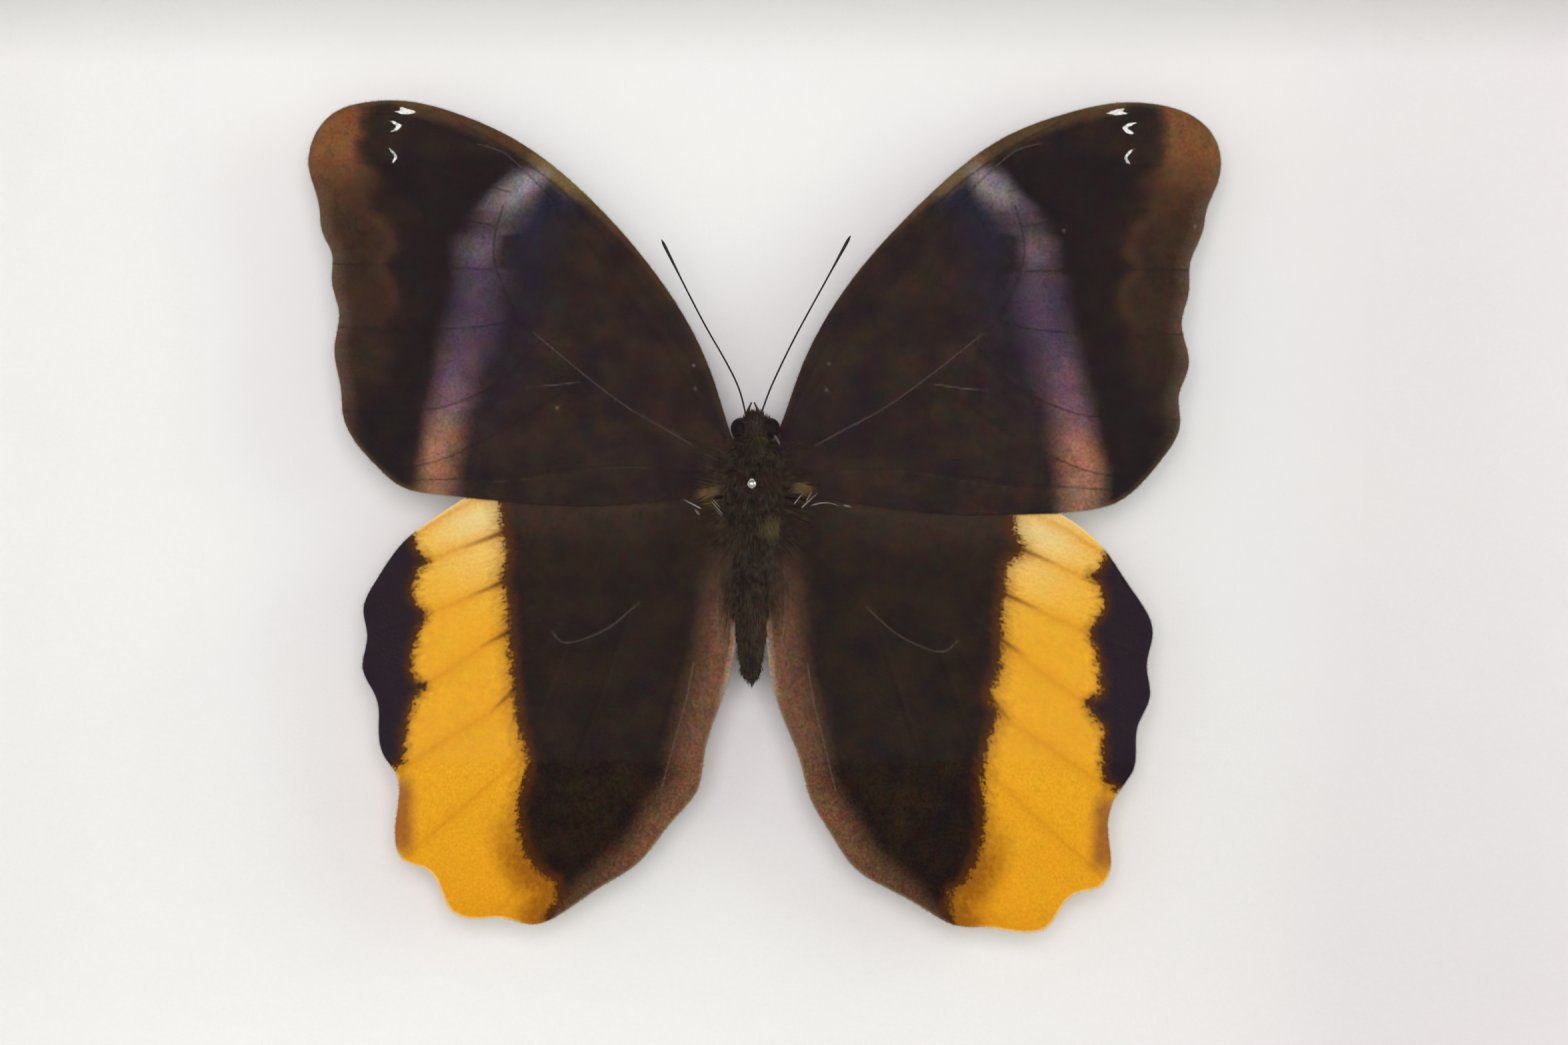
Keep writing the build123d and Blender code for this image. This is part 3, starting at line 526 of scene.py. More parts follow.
def forewing_marks(points, left, side, rim):
    """What the forewing's colours follow: masks from 0 to 1, and distances in millimetres."""
    across, up = left.T
    reach = np.hypot(across, up)
    heights, peaks, outward, bodyward = np.array(band_line[side]).T
    beyond = np.abs(points[:, 0]) - np.interp(up, heights, peaks)
    fade = np.where(beyond > 0, np.interp(up, heights, outward), np.interp(up, heights, bodyward))
    bright = ease(1, 0, np.abs(beyond) / fade) * ease(48.5, 46, up)
    in_tip = inward(points, rounded(tip_patch[side], True))
    tan = np.interp(up, [8, 20, 27, 33, 39, 44, 48, 51], [0, 0.02, 0.06, 0.04, 0.08, 0.24, 0.7, 1])
    tan = tan * ease(-1.2, 1, in_tip / np.interp(up, [40, 46, 50], [6, 3.5, 1.4])) * tip_strength[side]
    lunules = np.exp(-(((in_tip - 1.0) / 0.9) ** 2)) * ease(20, 30, up) * ease(46, 40, up)
    edge = from_path(left, rounded(leading_edge, False))
    costa = ease(1, 0.3, edge / np.interp(reach, [5, 40, 50, 60, 70], [0.7, 1, 2, 2.6, 2.8]))
    return {
        "band": bright * np.interp(up, [28, 36, 44], [1, *band_strength[side]]),
        "rise": np.clip((up + 5) / 60, 0, 1),
        # painted sheen: blue iridescence on the body side of the band, as a fixed colour
        "sheen": (ease(1, 5, -beyond) * ease(15, 6, -beyond)
                  * np.interp(up, [2, 14, 34, 44], [0, 0.4, 0.6, 1])),
        "dusk": (np.maximum(ease(1.5, 5.5, beyond), ease(45.5, 48, up)) * ease(3, -1.5, in_tip)
                 * np.interp(up, [48.5, 51], [1, 0.35])),
        "tip": tan + 0.13 * lunules,
        "warm": ease(-1, 3.5, in_tip) * np.interp(up, [5, 25, 40], [0.5, 0.8, 1]),
        "frost": ease(2.8, 0.2, rim) * ease(4, 16, up) * ease(52, 46, up) * ease(-40, -50, across),
        "costa": costa * np.interp(reach, [5, 20, 38, 48, 56, 62, 76], [0.1, 0.25, 0.5, 1, 1, 0.8, 0.85]),
        "gilt": ease(3.2, 0.6, edge) * ease(49, 53, reach) * ease(61, 57, reach),
        "blotch": np.max([inward(points, rounded(b, True)) for b in tip_blotches[side]], axis=0),
        "white": np.max([inward(points, np.asarray(w, float)) for w in white_marks[side]], axis=0),
        # painted highlights: small pale glints
        "glint": np.min([np.linalg.norm(points - place, axis=1) for place in fore_glints[side]], axis=0),
        "rim": rim + 5 * ease(-50, -40, across),
        "vein": nearest_path(left, fore_veins) + 0.2 * ease(-1, 2, in_tip) * ease(38, 43, up),
        "streak": nearest_path(left, fore_streaks),
        "faint": nearest_path(left, fore_faint_streaks),
    }


def hindwing_marks(points, left, side, rim):
    """What the hindwing's colours follow: masks from 0 to 1, and distances in millimetres."""
    across, up = left.T
    field = inward(points, rounded(dark_field[side], True))
    fold_width = np.interp(up, [-62, -52, -42, -30], [3.4, 5.8, 7, 7.8])
    fold = from_path(left, rounded(inner_edge, False)) / fold_width
    return {
        "rise": np.clip((up + 70) / 75, 0, 1),
        "turn": np.degrees(np.arctan2(up, across) % (2 * math.pi)) / 1.3,
        "field": field,
        "spur": np.max([spur(points, *ends, 0.75) for ends in field_spurs[side]], axis=0),
        "black": inward(points, rounded(black_patch[side], True)),
        "cream": np.interp(up, [-18, -10, -4], [0, 0.36, 1]) * ease(-52, -42, across),
        "smudge": ease(-50, -52.6, across) * ease(-42, -46.5, up) * ease(-57, -53.5, up),
        "corner": ease(-6.5, -1.5, field) * ease(-46, -58, up),
        "fold": ease(1, 0.15, fold) * np.interp(up, [-62, -54, -20, -14, -9], [0.5, 1, 1, 0.6, 0]),
        "hem": 0.65 * ease(1.3, 0.1, rim) * ease(-16, -22, up) * ease(-34, -29, up) * ease(-14, -10, across),
        "shoulder": ease(-12, -2, up) * ease(-2, -20, across),
        "rim": rim,
        "vein": nearest_path(left, hind_veins),
        "streak": nearest_path(left, hind_streaks),
        "reach": np.hypot(across, up),
    }


# ---- Wing meshes ---------------------------------------------------------------------------------
def smooth_shaded(mesh):
    """The mesh with every face shaded smooth."""
    mesh.polygons.foreach_set("use_smooth", np.ones(len(mesh.polygons), bool))
    return mesh


def plate_outline(node):
    """Outline of a CAD wing plate's front face, in millimetres from the pin, anticlockwise."""
    mesh = frame["nodes"][node].data
    points = np.array([vertex.co for vertex in mesh.vertices])
    on_front = points[:, 1] < points[:, 1].min() + SAME_PLACE
    places = (points[:, [0, 2]] - [pin_top.x, pin_top.z]) / MM
    keys = [tuple(place) for place in np.round(places, 3)]
    edges = set()
    for polygon in mesh.polygons:
        corners = list(polygon.vertices)
        if on_front[corners].all():
            edges |= {(keys[a], keys[b]) for a, b in zip(corners, corners[1:] + corners[:1])}
    following = {start: end for start, end in edges if (end, start) not in edges}
    first = next(iter(sorted(following)))
    outline = [first]
    while following[outline[-1]] != first:
        outline.append(following[outline[-1]])
    return np.array(outline)


def even_steps(outline, spacing):
    """The outline again, as points at even steps."""
    closed = np.vstack([outline, outline[:1]])
    runs = np.concatenate([[0], np.cumsum(np.linalg.norm(np.diff(closed, axis=0), axis=1))])
    places = np.linspace(0, runs[-1], round(runs[-1] / spacing), endpoint=False)
    return np.column_stack([np.interp(places, runs, closed[:, axis]) for axis in (0, 1)])


def triangulated(outline, spacing):
    """Points and triangles that fill an outline, and the numbers of the points along its rim."""
    rim = even_steps(outline, spacing)
    low, high = rim.min(axis=0), rim.max(axis=0)
    rows = np.arange(low[1], high[1], spacing * math.sin(math.radians(60)))
    steps = np.arange(low[0], high[0], spacing)
    grid = np.array([(x + spacing / 2 * (n % 2), y) for n, y in enumerate(rows) for x in steps])
    clear_of_rim = 0.6 * spacing
    given = [Vector(point) for point in np.vstack([rim, grid[inward(grid, rim) > clear_of_rim]])]
    made = geometry.delaunay_2d_cdt(given, [], [list(range(len(rim)))], 1, SAME_PLACE)
    places, triangles, sources = made[0], made[2], made[3]
    number = {source: new for new, old in enumerate(sources) for source in old}
    return np.array(places), triangles, [number[n] for n in range(len(rim))]


def wing_relief(points, left, veins, looks):
    """How far a wing lies behind its plate's front face, in millimetres."""
    across, up = np.abs(points[:, 0]), points[:, 1]
    reach = np.hypot(across, up)
    wing_length, roll_height, vein_width = 70, 0.22, 0.42
    fall = looks.tip_fall / MM * (reach / wing_length) ** 2
    roll = roll_height * np.sin(across / 13 + 0.4) * np.cos(up / 19 + 0.7) * ease(4, 25, across)
    gap = nearest_path(left, veins)
    pleat = looks.pleat_depth / MM * ease(0.2, 3.4, gap)
    ridge = looks.vein_height / MM * np.exp(-((gap / vein_width) ** 2)) * ease(90, 30, reach)
    return fall + roll + pleat - ridge


def keep_marks(mesh, marks):
    """Stores each mark's value for every point of a mesh, which its material reads."""
    for name, values in marks.items():
        attribute = mesh.attributes.new(name, "FLOAT", "POINT")
        attribute.data.foreach_set("value", values.astype(np.float32))


def wing(node, side, places, veins, marks_of, looks):
    """One wing as a thin closed shell in the outline of its CAD plate, with its marks as attributes."""
    points, triangles, rim = triangulated(plate_outline(node), looks.spacing / MM)
    left = carry(points, places[side], places["left"])
    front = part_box(node)[0].y + wing_relief(points, left, veins, looks) * MM
    coarse_rim = points[rim[::4] + rim[:1]]
    marks = marks_of(points, left, side, from_path(points, coarse_rim))
    count = len(points)
    vertices = [from_pin(x, y, z) for (x, z), y in zip(points, front)]
    vertices += [from_pin(x, y + looks.thickness, z) for (x, z), y in zip(points, front)]
    backs = [tuple(count + corner for corner in reversed(face)) for face in triangles]
    pairs = list(zip(rim, rim[1:] + rim[:1]))
    sides = [(end, start, count + start, count + end) for start, end in pairs]
    mesh = bpy.data.meshes.new(node + "_scales")
    mesh.from_pydata(vertices, [], [tuple(face) for face in triangles] + backs + sides)
    keep_marks(mesh, {name: np.tile(values, 2) for name, values in marks.items()})
    under = np.zeros(len(mesh.polygons), int)
    under[len(triangles):len(triangles) + len(backs)] = 1
    mesh.polygons.foreach_set("material_index", under)
    smooth_shaded(mesh).set_sharp_from_angle(angle=math.radians(60))
    line = bpy.data.meshes.new(node + "_rim")
    line.from_pydata([vertices[n] for n in rim], [(n, (n + 1) % len(rim)) for n in range(len(rim))], [])
    keep_marks(line, {name: values[rim] for name, values in marks.items()})
    return mesh, line


# ---- Pieces --------------------------------------------------------------------------------------
def put(name, mesh, body, materials, replaces=()):
    """Puts a finished mesh into the scene as a piece that rides on a body."""
    made = bpy.data.objects.new(name, mesh)
    bpy.context.scene.collection.objects.link(made)
    mesh.materials.clear()
    for material in materials:
        mesh.materials.append(material)
    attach(made, body)
    if replaces:
        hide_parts(*replaces)
    return made


def finish_node(node, material):
    """Gives a CAD node, which keeps its own mesh, its finish."""
    shown = frame["nodes"][node]
    if not shown.material_slots:
        shown.data.materials.append(material)
    for place in shown.material_slots:
        place.material = material


def tree_with(name, inputs):
    """New Geometry Nodes tree with a geometry in and out and the named inputs, and those inputs."""
    tree = bpy.data.node_groups.new(name, "GeometryNodeTree")
    tree.is_modifier = True
    for way in ("INPUT", "OUTPUT"):
        tree.interface.new_socket("Geometry", in_out=way, socket_type="NodeSocketGeometry")
    for label, kind in inputs.items():
        tree.interface.new_socket(label, in_out="INPUT", socket_type="NodeSocket" + kind)
    return tree, add(tree, "NodeGroupInput").outputs


def end(tree, made, material):
    """Ends a Geometry Nodes tree with what it made, as a plain mesh of one material."""
    made = add(tree, "GeometryNodeRealizeInstances", {"Geometry": made})
    made = add(tree, "GeometryNodeSetMaterial", {"Geometry": made, "Material": material})
    add(tree, "NodeGroupOutput", {0: made})
    return tree


def baked(carrier):
    """The plain mesh that an object's modifiers make. The object is removed."""
    graph = bpy.context.evaluated_depsgraph_get()
    graph.update()
    mesh = bpy.data.meshes.new_from_object(
        carrier.evaluated_get(graph), preserve_all_data_layers=True, depsgraph=graph)
    carrier.modifiers.clear()
    bpy.data.objects.remove(carrier)
    return mesh


def grown(tree, source, values):
    """The plain mesh that a Geometry Nodes tree makes of a mesh or a curve."""
    carrier = bpy.data.objects.new(source.name + "_carrier", source)
    bpy.context.scene.collection.objects.link(carrier)
    modifier = carrier.modifiers.new(tree.name, "NODES")
    modifier.node_group = tree
    for socket in tree.interface.items_tree:
        if socket.in_out == "INPUT" and socket.name in values:
            modifier[socket.identifier] = values[socket.name]
    return baked(carrier)


def merged(node):
    """A copy of a CAD node's mesh with its loose triangles joined, as an editable mesh."""
    work = bmesh.new()
    work.from_mesh(frame["nodes"][node].data)
    bmesh.ops.remove_doubles(work, verts=work.verts, dist=SAME_PLACE)
    return work


def plain(work, name):
    """The plain mesh, shaded smooth, that an editable one leaves behind."""
    mesh = bpy.data.meshes.new(name)
    work.to_mesh(mesh)
    work.free()
    return smooth_shaded(mesh)


def balls(name, centres, radius, rows, slim=1.0):
    """Spheres round some centres, as wide as a share of their height."""
    work = bmesh.new()
    for centre in centres:
        ball = bmesh.ops.create_uvsphere(work, u_segments=48, v_segments=rows, radius=radius)
        bmesh.ops.scale(work, verts=ball["verts"], vec=(slim, slim, 1.0))
        bmesh.ops.translate(work, verts=ball["verts"], vec=centre)
    # The order of a new sphere's faces differs from run to run, so they are put into one order.
    work.verts.index_update()
    faces = []
    for face in work.faces:
        corners = [vert.index for vert in face.verts]
        first = corners.index(min(corners))
        faces.append(corners[first:] + corners[:first])
    mesh = bpy.data.meshes.new(name)
    mesh.from_pydata([vert.co for vert in work.verts], [], sorted(faces))
    work.free()
    return smooth_shaded(mesh)


# ---- Materials of the butterfly ------------------------------------------------------------------
wing_gloss = {"Roughness": 0.75, "Specular_IOR_Level": 0.02}
fur_gloss = {"Roughness": 0.7, "Specular_IOR_Level": 0.03}


def speckled(tree, colour, grain, low, high):
    """A colour made darker and lighter from scale to scale, between two shares of itself."""
    share = add(tree, "ShaderNodeMapRange", {
        "Value": grain, "From Min": 0.25, "From Max": 0.75, "To Min": low, "To Max": high})
    return add(tree, "ShaderNodeVectorMath", {0: colour, "Scale": share}, operation="SCALE")


def wandering(tree, colour, place, size, share):
    """A colour whose red, green and blue each wander from patch to patch, by a share of themselves."""
    patches = add(tree, "ShaderNodeTexNoise", {"Vector": place, "Scale": per(size), "Detail": 3.0})
    gain = 6 * share    # the noise strays by about a sixth from one half
    spread = {0: patches.outputs["Color"], 1: (gain,) * 3, 2: (1 - gain / 2,) * 3}
    spread = add(tree, "ShaderNodeVectorMath", spread, operation="MULTIPLY_ADD")
    return add(tree, "ShaderNodeVectorMath", {0: colour, 1: spread}, operation="MULTIPLY")


def forewing_scales(looks):
    """Butterfly wing, grown scales on a membrane: matt, with soft edges where one colour meets another."""
    made, tree = surface("forewing_scales", **wing_gloss)
    place, grain, patches, mottle = patterns(tree, (0.42, 2), (6.0, 4), (1.8, 3))
    rise = add(tree, "ShaderNodeAttribute", attribute_name="rise").outputs["Fac"]
    ground = add(tree, "ShaderNodeValToRGB", {"Fac": patches}, stops=[
        (0.36, "#221819"), (0.5, looks.brown), (0.64, "#30221a")])
    band_colour = add(tree, "ShaderNodeValToRGB", {"Fac": rise}, stops=[
        (0.07, "#8c6450"), (0.14, "#986952"), (0.20, "#95654e"), (0.28, "#6e505a"), (0.37, "#5c4550"),
        (0.45, "#4b394a"), (0.54, "#48374b"), (0.62, "#4b3c4a"), (0.68, "#65545f"), (0.73, "#43383f"),
        (0.76, "#54474f"), (0.825, "#8f7e87"), (0.87, "#857982")])
    colour = paint(tree, ground, [
        # painted sheen: blue iridescence laid down as a fixed colour
        (soft_mask(tree, "sheen", patches, 0.5), looks.sheen),
        (soft_mask(tree, "dusk", mottle, 0.5), looks.dusk),
        (soft_mask(tree, "warm", mottle, 0.5), looks.margin),
        (soft_mask(tree, "costa", patches, 0.3), looks.costa),
        (soft_mask(tree, "gilt", mottle, 0.4), "#6e5836"),
        (soft_mask(tree, "frost", mottle, 0.3), "#4f3d32"),
        (soft_mask(tree, "tip", mottle, 0.4), looks.tan),
        (soft_mask(tree, "band", mottle, 0.45), band_colour),
        (broken_edge(tree, "blotch", mottle, 0.9, 1.3, 0.0, 0.85), "#2a1f19"),
        (thin_line(tree, "rim", 0.8, 0.4), "#6b5238"),
        (thin_line(tree, "vein", 0.32, 0.58), "#1a1413"),
        (thin_line(tree, "faint", 0.16, 0.3), "#6b5f55"),
        (thin_line(tree, "streak", 0.2, 0.4), "#7d7168"),
        # painted highlights: small pale glints on the forewings
        (thin_line(tree, "glint", 0.42, 0.5), "#948a80"),
    ])
    colour = wandering(tree, colour, place, 2.6, 0.16)
    colour = paint(tree, colour, [(broken_edge(tree, "white", grain, 0.08, 0.1), looks.white)])
    return finished(made, speckled(tree, colour, grain, 0.66, 1.34), grain, 0.05)


def hindwing_scales(looks):
    """Butterfly wing, grown scales: warm orange and black-brown fields with feathered edges."""
    made, tree = surface("hindwing_scales", **wing_gloss)
    place, grain, patches = patterns(tree, (0.42, 2), (6.0, 4))
    turn, reach, rise = [add(tree, "ShaderNodeAttribute", attribute_name=name).outputs["Fac"]
                         for name in ("turn", "reach", "rise")]
    out = add(tree, "ShaderNodeMath", {0: reach, 1: 0.45}, operation="MULTIPLY")
    rays = add(tree, "ShaderNodeCombineXYZ", {0: turn, 1: out})
    feather = add(tree, "ShaderNodeTexNoise", {"Vector": rays, "Scale": 1.9, "Detail": 3.0})
    orange = add(tree, "ShaderNodeValToRGB", {"Fac": rise}, stops=[
        (0.04, "#df9319"), (0.14, "#e99f1e"), (0.36, "#e9a521"), (0.64, "#eaa824"), (0.78, "#ecb23a"),
        (0.90, "#eec26c")])
    dark = add(tree, "ShaderNodeValToRGB", {"Fac": patches}, stops=[
        (0.36, "#1c1414"), (0.5, "#221813"), (0.64, "#281c13")])
    dark = paint(tree, dark, [
        (soft_mask(tree, "shoulder", patches, 0.3), "#35271e"),
        (soft_mask(tree, "fold", feather, 0.35), looks.fold),
        (thin_line(tree, "rim", 0.5, 0.5), "#8f7b5e"),
        (soft_mask(tree, "hem", feather, 0.3), "#a98f78"),
    ])
    dark = speckled(tree, wandering(tree, dark, place, 1.6, 0.17), grain, 0.7, 1.3)
    fray = add(tree, "ShaderNodeMath", {0: feather, 1: grain}, operation="ADD")
    fray = add(tree, "ShaderNodeMath", {0: fray, 1: 0.5}, operation="MULTIPLY")
    deeper = add(tree, "ShaderNodeMapRange", {
        "Value": feather, "From Min": 0.48, "From Max": 0.68, "To Max": 0.4})
    colour = paint(tree, orange, [
        (deeper, "#df9416"),
        (soft_mask(tree, "cream", patches, 0.15), "#e9ca86"),
        (thin_line(tree, "vein", 2.2, 0.45), "#e09518"),
        (thin_line(tree, "vein", 0.6, 0.3), "#c98016"),
        (thin_line(tree, "rim", 0.45, 0.8), "#e8cb8e"),
        (soft_mask(tree, "corner", feather, 0.5), "#a05f10"),
        (soft_mask(tree, "smudge", feather, 0.3), "#a1632a"),
        (broken_edge(tree, "field", feather, 1.4, 1.5, 1.5, 0.5), looks.tawny),
        (broken_edge(tree, "black", feather, 1.2, 0.8, 0.8, 0.45), looks.tawny),
        (soft_mask(tree, "spur", fray, 0.4), looks.wine),
        (broken_edge(tree, "field", fray, 2.2, 0.6, 0.15), looks.wine),
        (broken_edge(tree, "black", fray, 2.0, 0.5), looks.wine),
        (broken_edge(tree, "field", fray, 2.2, 1.0, -1.3), dark),
        (broken_edge(tree, "black", fray, 2.0, 0.9, -1.1), looks.black),
        (thin_line(tree, "streak", 0.22, 0.4), "#7a6a5b"),
    ])
    colour = wandering(tree, colour, place, 3.4, 0.025)
    return finished(made, speckled(tree, colour, grain, 0.9, 1.1), grain, 0.05)


def underside_scales(looks):
    """Butterfly wing underside, grown scales: marbled brown with dark lines along the veins."""
    made, tree = surface("underside_scales", Roughness=0.65, Specular_IOR_Level=0.1)
    place, grain = patterns(tree, (0.3, 2))
    marbling = add(tree, "ShaderNodeTexNoise", {
        "Vector": place, "Scale": per(3.0), "Detail": 4.0, "Distortion": 1.5})
    colour = add(tree, "ShaderNodeValToRGB", {"Fac": marbling}, stops=[
        (0.38, "#3a2d22"), (0.5, looks.under), (0.62, "#8b7760")])
    colour = paint(tree, colour, [(thin_line(tree, "vein", 0.4, 0.6), "#2c211a")])
    return finished(made, speckled(tree, colour, grain, 0.85, 1.15), grain, 0.05)


def spotted(tree, colour, place, grain, spots):
    """A colour with soft round spots, each given by its place in the view, its radius, share and colour."""
    seen = add(tree, "ShaderNodeVectorMath", {0: place, 1: (1.0, 0.0, 1.0)}, operation="MULTIPLY")
    for across, up, radius, share, code in spots:
        near = {0: seen, 1: from_pin(across, 0.0, up)}
        near = add(tree, "ShaderNodeVectorMath", near, operation="DISTANCE").outputs["Value"]
        mask = mask_of(tree, near, radius * MM, 0.2 * radius * MM, 2 * share)
        mask = add(tree, "ShaderNodeMath", {0: mask, 1: grain}, operation="MULTIPLY", use_clamp=True)
        colour = paint(tree, colour, [(mask, code)])
    return colour


def body_fur(looks):
    """Insect fur, grown hair: dark brown and olive in tufts, golden behind the pin and at the collar."""
    made, tree = surface("body_fur", **fur_gloss)
    place, tufts, strands = patterns(tree, (1.1, 3), (0.4, 2))
    hair = add(tree, "ShaderNodeValToRGB", {"Fac": tufts}, stops=[
        (0.36, looks.fur_dark), (0.5, looks.fur_brown), (0.62, looks.fur_olive)])
    colour = wandering(tree, spotted(tree, hair, place, strands, fur_spots), place, 1.2, 0.2)
    for name, low, high in (("shade", 0.55, 1.5), ("tip", 0.8, 1.25)):
        share = add(tree, "ShaderNodeAttribute", attribute_name=name).outputs["Fac"]
        lift = add(tree, "ShaderNodeMapRange", {"Value": share, "To Min": low, "To Max": high})
        colour = add(tree, "ShaderNodeVectorMath", {0: colour, "Scale": lift}, operation="SCALE")
    return finished(made, colour)


def base_hair(looks):
    """Hair scales over the wing bases, grown: brown like the wings, golden in two tufts."""
    made, tree = surface("base_hair", **fur_gloss)
    place, tufts = patterns(tree, (0.9, 2))
    hair = add(tree, "ShaderNodeValToRGB", {"Fac": tufts}, stops=[
        (0.36, "#2f231d"), (0.5, looks.base), (0.64, "#4a3c2b")])
    colour = spotted(tree, hair, place, tufts, base_spots)
    return finished(made, wandering(tree, colour, place, 0.8, 0.15))


def silver_glint_hair(looks):
    """Long hair scales at the wing bases, grown: pale and silky, some of them golden. Their pale colour is
    partly a painted highlight, where shiny strands glint.
    """
    stops = [(0.34, "#9c8558"), (0.46, looks.silver_glint), (0.7, "#c6bdb4")]
    return patterned("silver_glint_hair", (0.5, 1), stops, Roughness=0.4, Specular_IOR_Level=0.4)


def dark_cuticle(name, colour, rough):
    """Insect cuticle, hardened skin: dark, with a dull waxy shine and a finely pitted surface."""
    stops = [(0.3, "#1a1310"), (0.7, colour)]
    return patterned(name, (0.4, 3), stops, 0.05, Roughness=rough, Specular_IOR_Level=0.1)


def compound_eye(looks):
    """Insect eye, thousands of tiny lenses drawn coarse enough to show: dark, with a broken highlight."""
    made, tree = surface("compound_eye", Roughness=0.3, Specular_IOR_Level=0.05)
    lenses = add(tree, "ShaderNodeTexVoronoi", {
        "Vector": patterns(tree)[0], "Scale": per(0.12), "Randomness": 0.2}).outputs["Distance"]
    colour = add(tree, "ShaderNodeValToRGB", {"Fac": lenses}, stops=[(0.1, looks.eye), (0.8, "#0e0708")])
    dome = add(tree, "ShaderNodeMath", {0: 1.0, 1: lenses}, operation="SUBTRACT")
    return finished(made, colour, dome, 0.03)


# ---- Materials of the case -----------------------------------------------------------------------
def polished_steel():
    """Stainless steel wire, drawn and polished: bright, with faint uneven patches left by the polish."""
    stops = [(0.3, "#d9d6cf"), (0.7, "#ece9e4")]
    return patterned("polished_stainless_steel", (0.5, 2), stops, Metallic=1.0, Roughness=0.16)


def worked_metal(name, colour, dull, rough):
    """Sheet or wire metal, rolled and handled: soft streaks of rolling and a duller bloom in patches."""
    made, tree = surface(name, Metallic=1.0)
    place, bloom = patterns(tree, (6.0, 4))
    rolling = drawn_out(tree, place, (1.0, 1.0, 0.08), 0.25, 2)
    wear = add(tree, "ShaderNodeMapRange", {
        "Value": bloom, "From Min": 0.3, "From Max": 0.7, "To Min": rough, "To Max": rough + 0.15})
    feed(tree, tree.nodes["Principled BSDF"].inputs["Roughness"], wear)
    patches = add(tree, "ShaderNodeValToRGB", {"Fac": bloom}, stops=[(0.35, colour), (0.65, dull)])
    return finished(made, patches, rolling, 0.01)


def oiled_walnut(looks, name, turn):
    """Walnut, planed and oiled: growth rings and short dark pores that run along each rail."""
    made, tree = surface(name, Roughness=0.42, Specular_IOR_Level=0.4)
    along = add(tree, "ShaderNodeMapping", {"Vector": patterns(tree)[0], "Rotation": turn})
    rings = drawn_out(tree, along, (0.035, 1.0, 1.0), looks.ring / MM, 3, 0.6)
    pores = drawn_out(tree, along, (0.06, 1.0, 1.0), 0.35, 1)
    colour = add(tree, "ShaderNodeValToRGB", {"Fac": rings}, stops=[
        (0.32, looks.wood_dark), (0.5, "#5b3720"), (0.66, looks.wood_light)])
    open_pores = add(tree, "ShaderNodeMapRange", {
        "Value": pores, "From Min": 0.36, "From Max": 0.28, "To Max": 0.7})
    return finished(made, paint(tree, colour, [(open_pores, "#22130b")]), pores, 0.04)


def fibrous(name, colour, low, fibre, rough, height):
    """Paper, board, foam or felt, laid from loose fibres: matt, with a cloudy tone and a fine tooth."""
    made, tree = surface(name, Roughness=rough, Specular_IOR_Level=0.15)
    _, tooth, clouds = patterns(tree, (fibre, 3), (25.0, 2))
    tone = speckled(tree, paint(tree, colour, [(clouds, low)]), tooth, 0.985, 1.015)
    return finished(made, tone, tooth, height)


def birch_plywood(looks):
    """Birch plywood, rotary-cut veneer: a faint wandering figure under fine fibres along the width."""
    made, tree = surface("birch_plywood", Roughness=0.7, Specular_IOR_Level=0.2)
    place = patterns(tree)[0]
    figure = drawn_out(tree, place, (0.06, 1.0, 1.0), 11.0, 2, 0.8)
    fibres = drawn_out(tree, place, (0.03, 1.0, 1.0), 0.8, 3)
    colour = add(tree, "ShaderNodeValToRGB", {"Fac": figure}, stops=[
        (0.3, "#b08d61"), (0.5, looks.panel), (0.7, "#c8a87a")])
    return finished(made, speckled(tree, colour, fibres, 0.82, 1.14), fibres, 0.03)


def black_rubber(looks):
    """Rubber, moulded: near black and matt, with a faint bloom."""
    stops = [(0.35, looks.rubber), (0.75, "#2c2c2e")]
    return patterned("moulded_rubber", (1.2, 3), stops, 0.03, Roughness=0.75, Specular_IOR_Level=0.4)


def coated_glass():
    """Float glass with an anti-reflection coat: clear head on, and a mirror only at a slant."""
    made, tree = surface("coated_float_glass", Base_Color=linear("#eef3f1"), Metallic=1.0, Roughness=0.02)
    slant = add(tree, "ShaderNodeLayerWeight", {"Blend": 0.35}).outputs["Fresnel"]
    mirror = add(tree, "ShaderNodeMapRange", {
        "Value": slant, "From Min": 0.05, "From Max": 1.0, "To Min": 0.0006, "To Max": 0.6})
    clear = add(tree, "ShaderNodeBsdfTransparent", {"Color": linear("#fbfdfc")})
    pane = add(tree, "ShaderNodeMixShader", {0: mirror, 1: clear, 2: tree.nodes["Principled BSDF"]})
    feed(tree, tree.nodes["Material Output"].inputs["Surface"], pane)
    return made


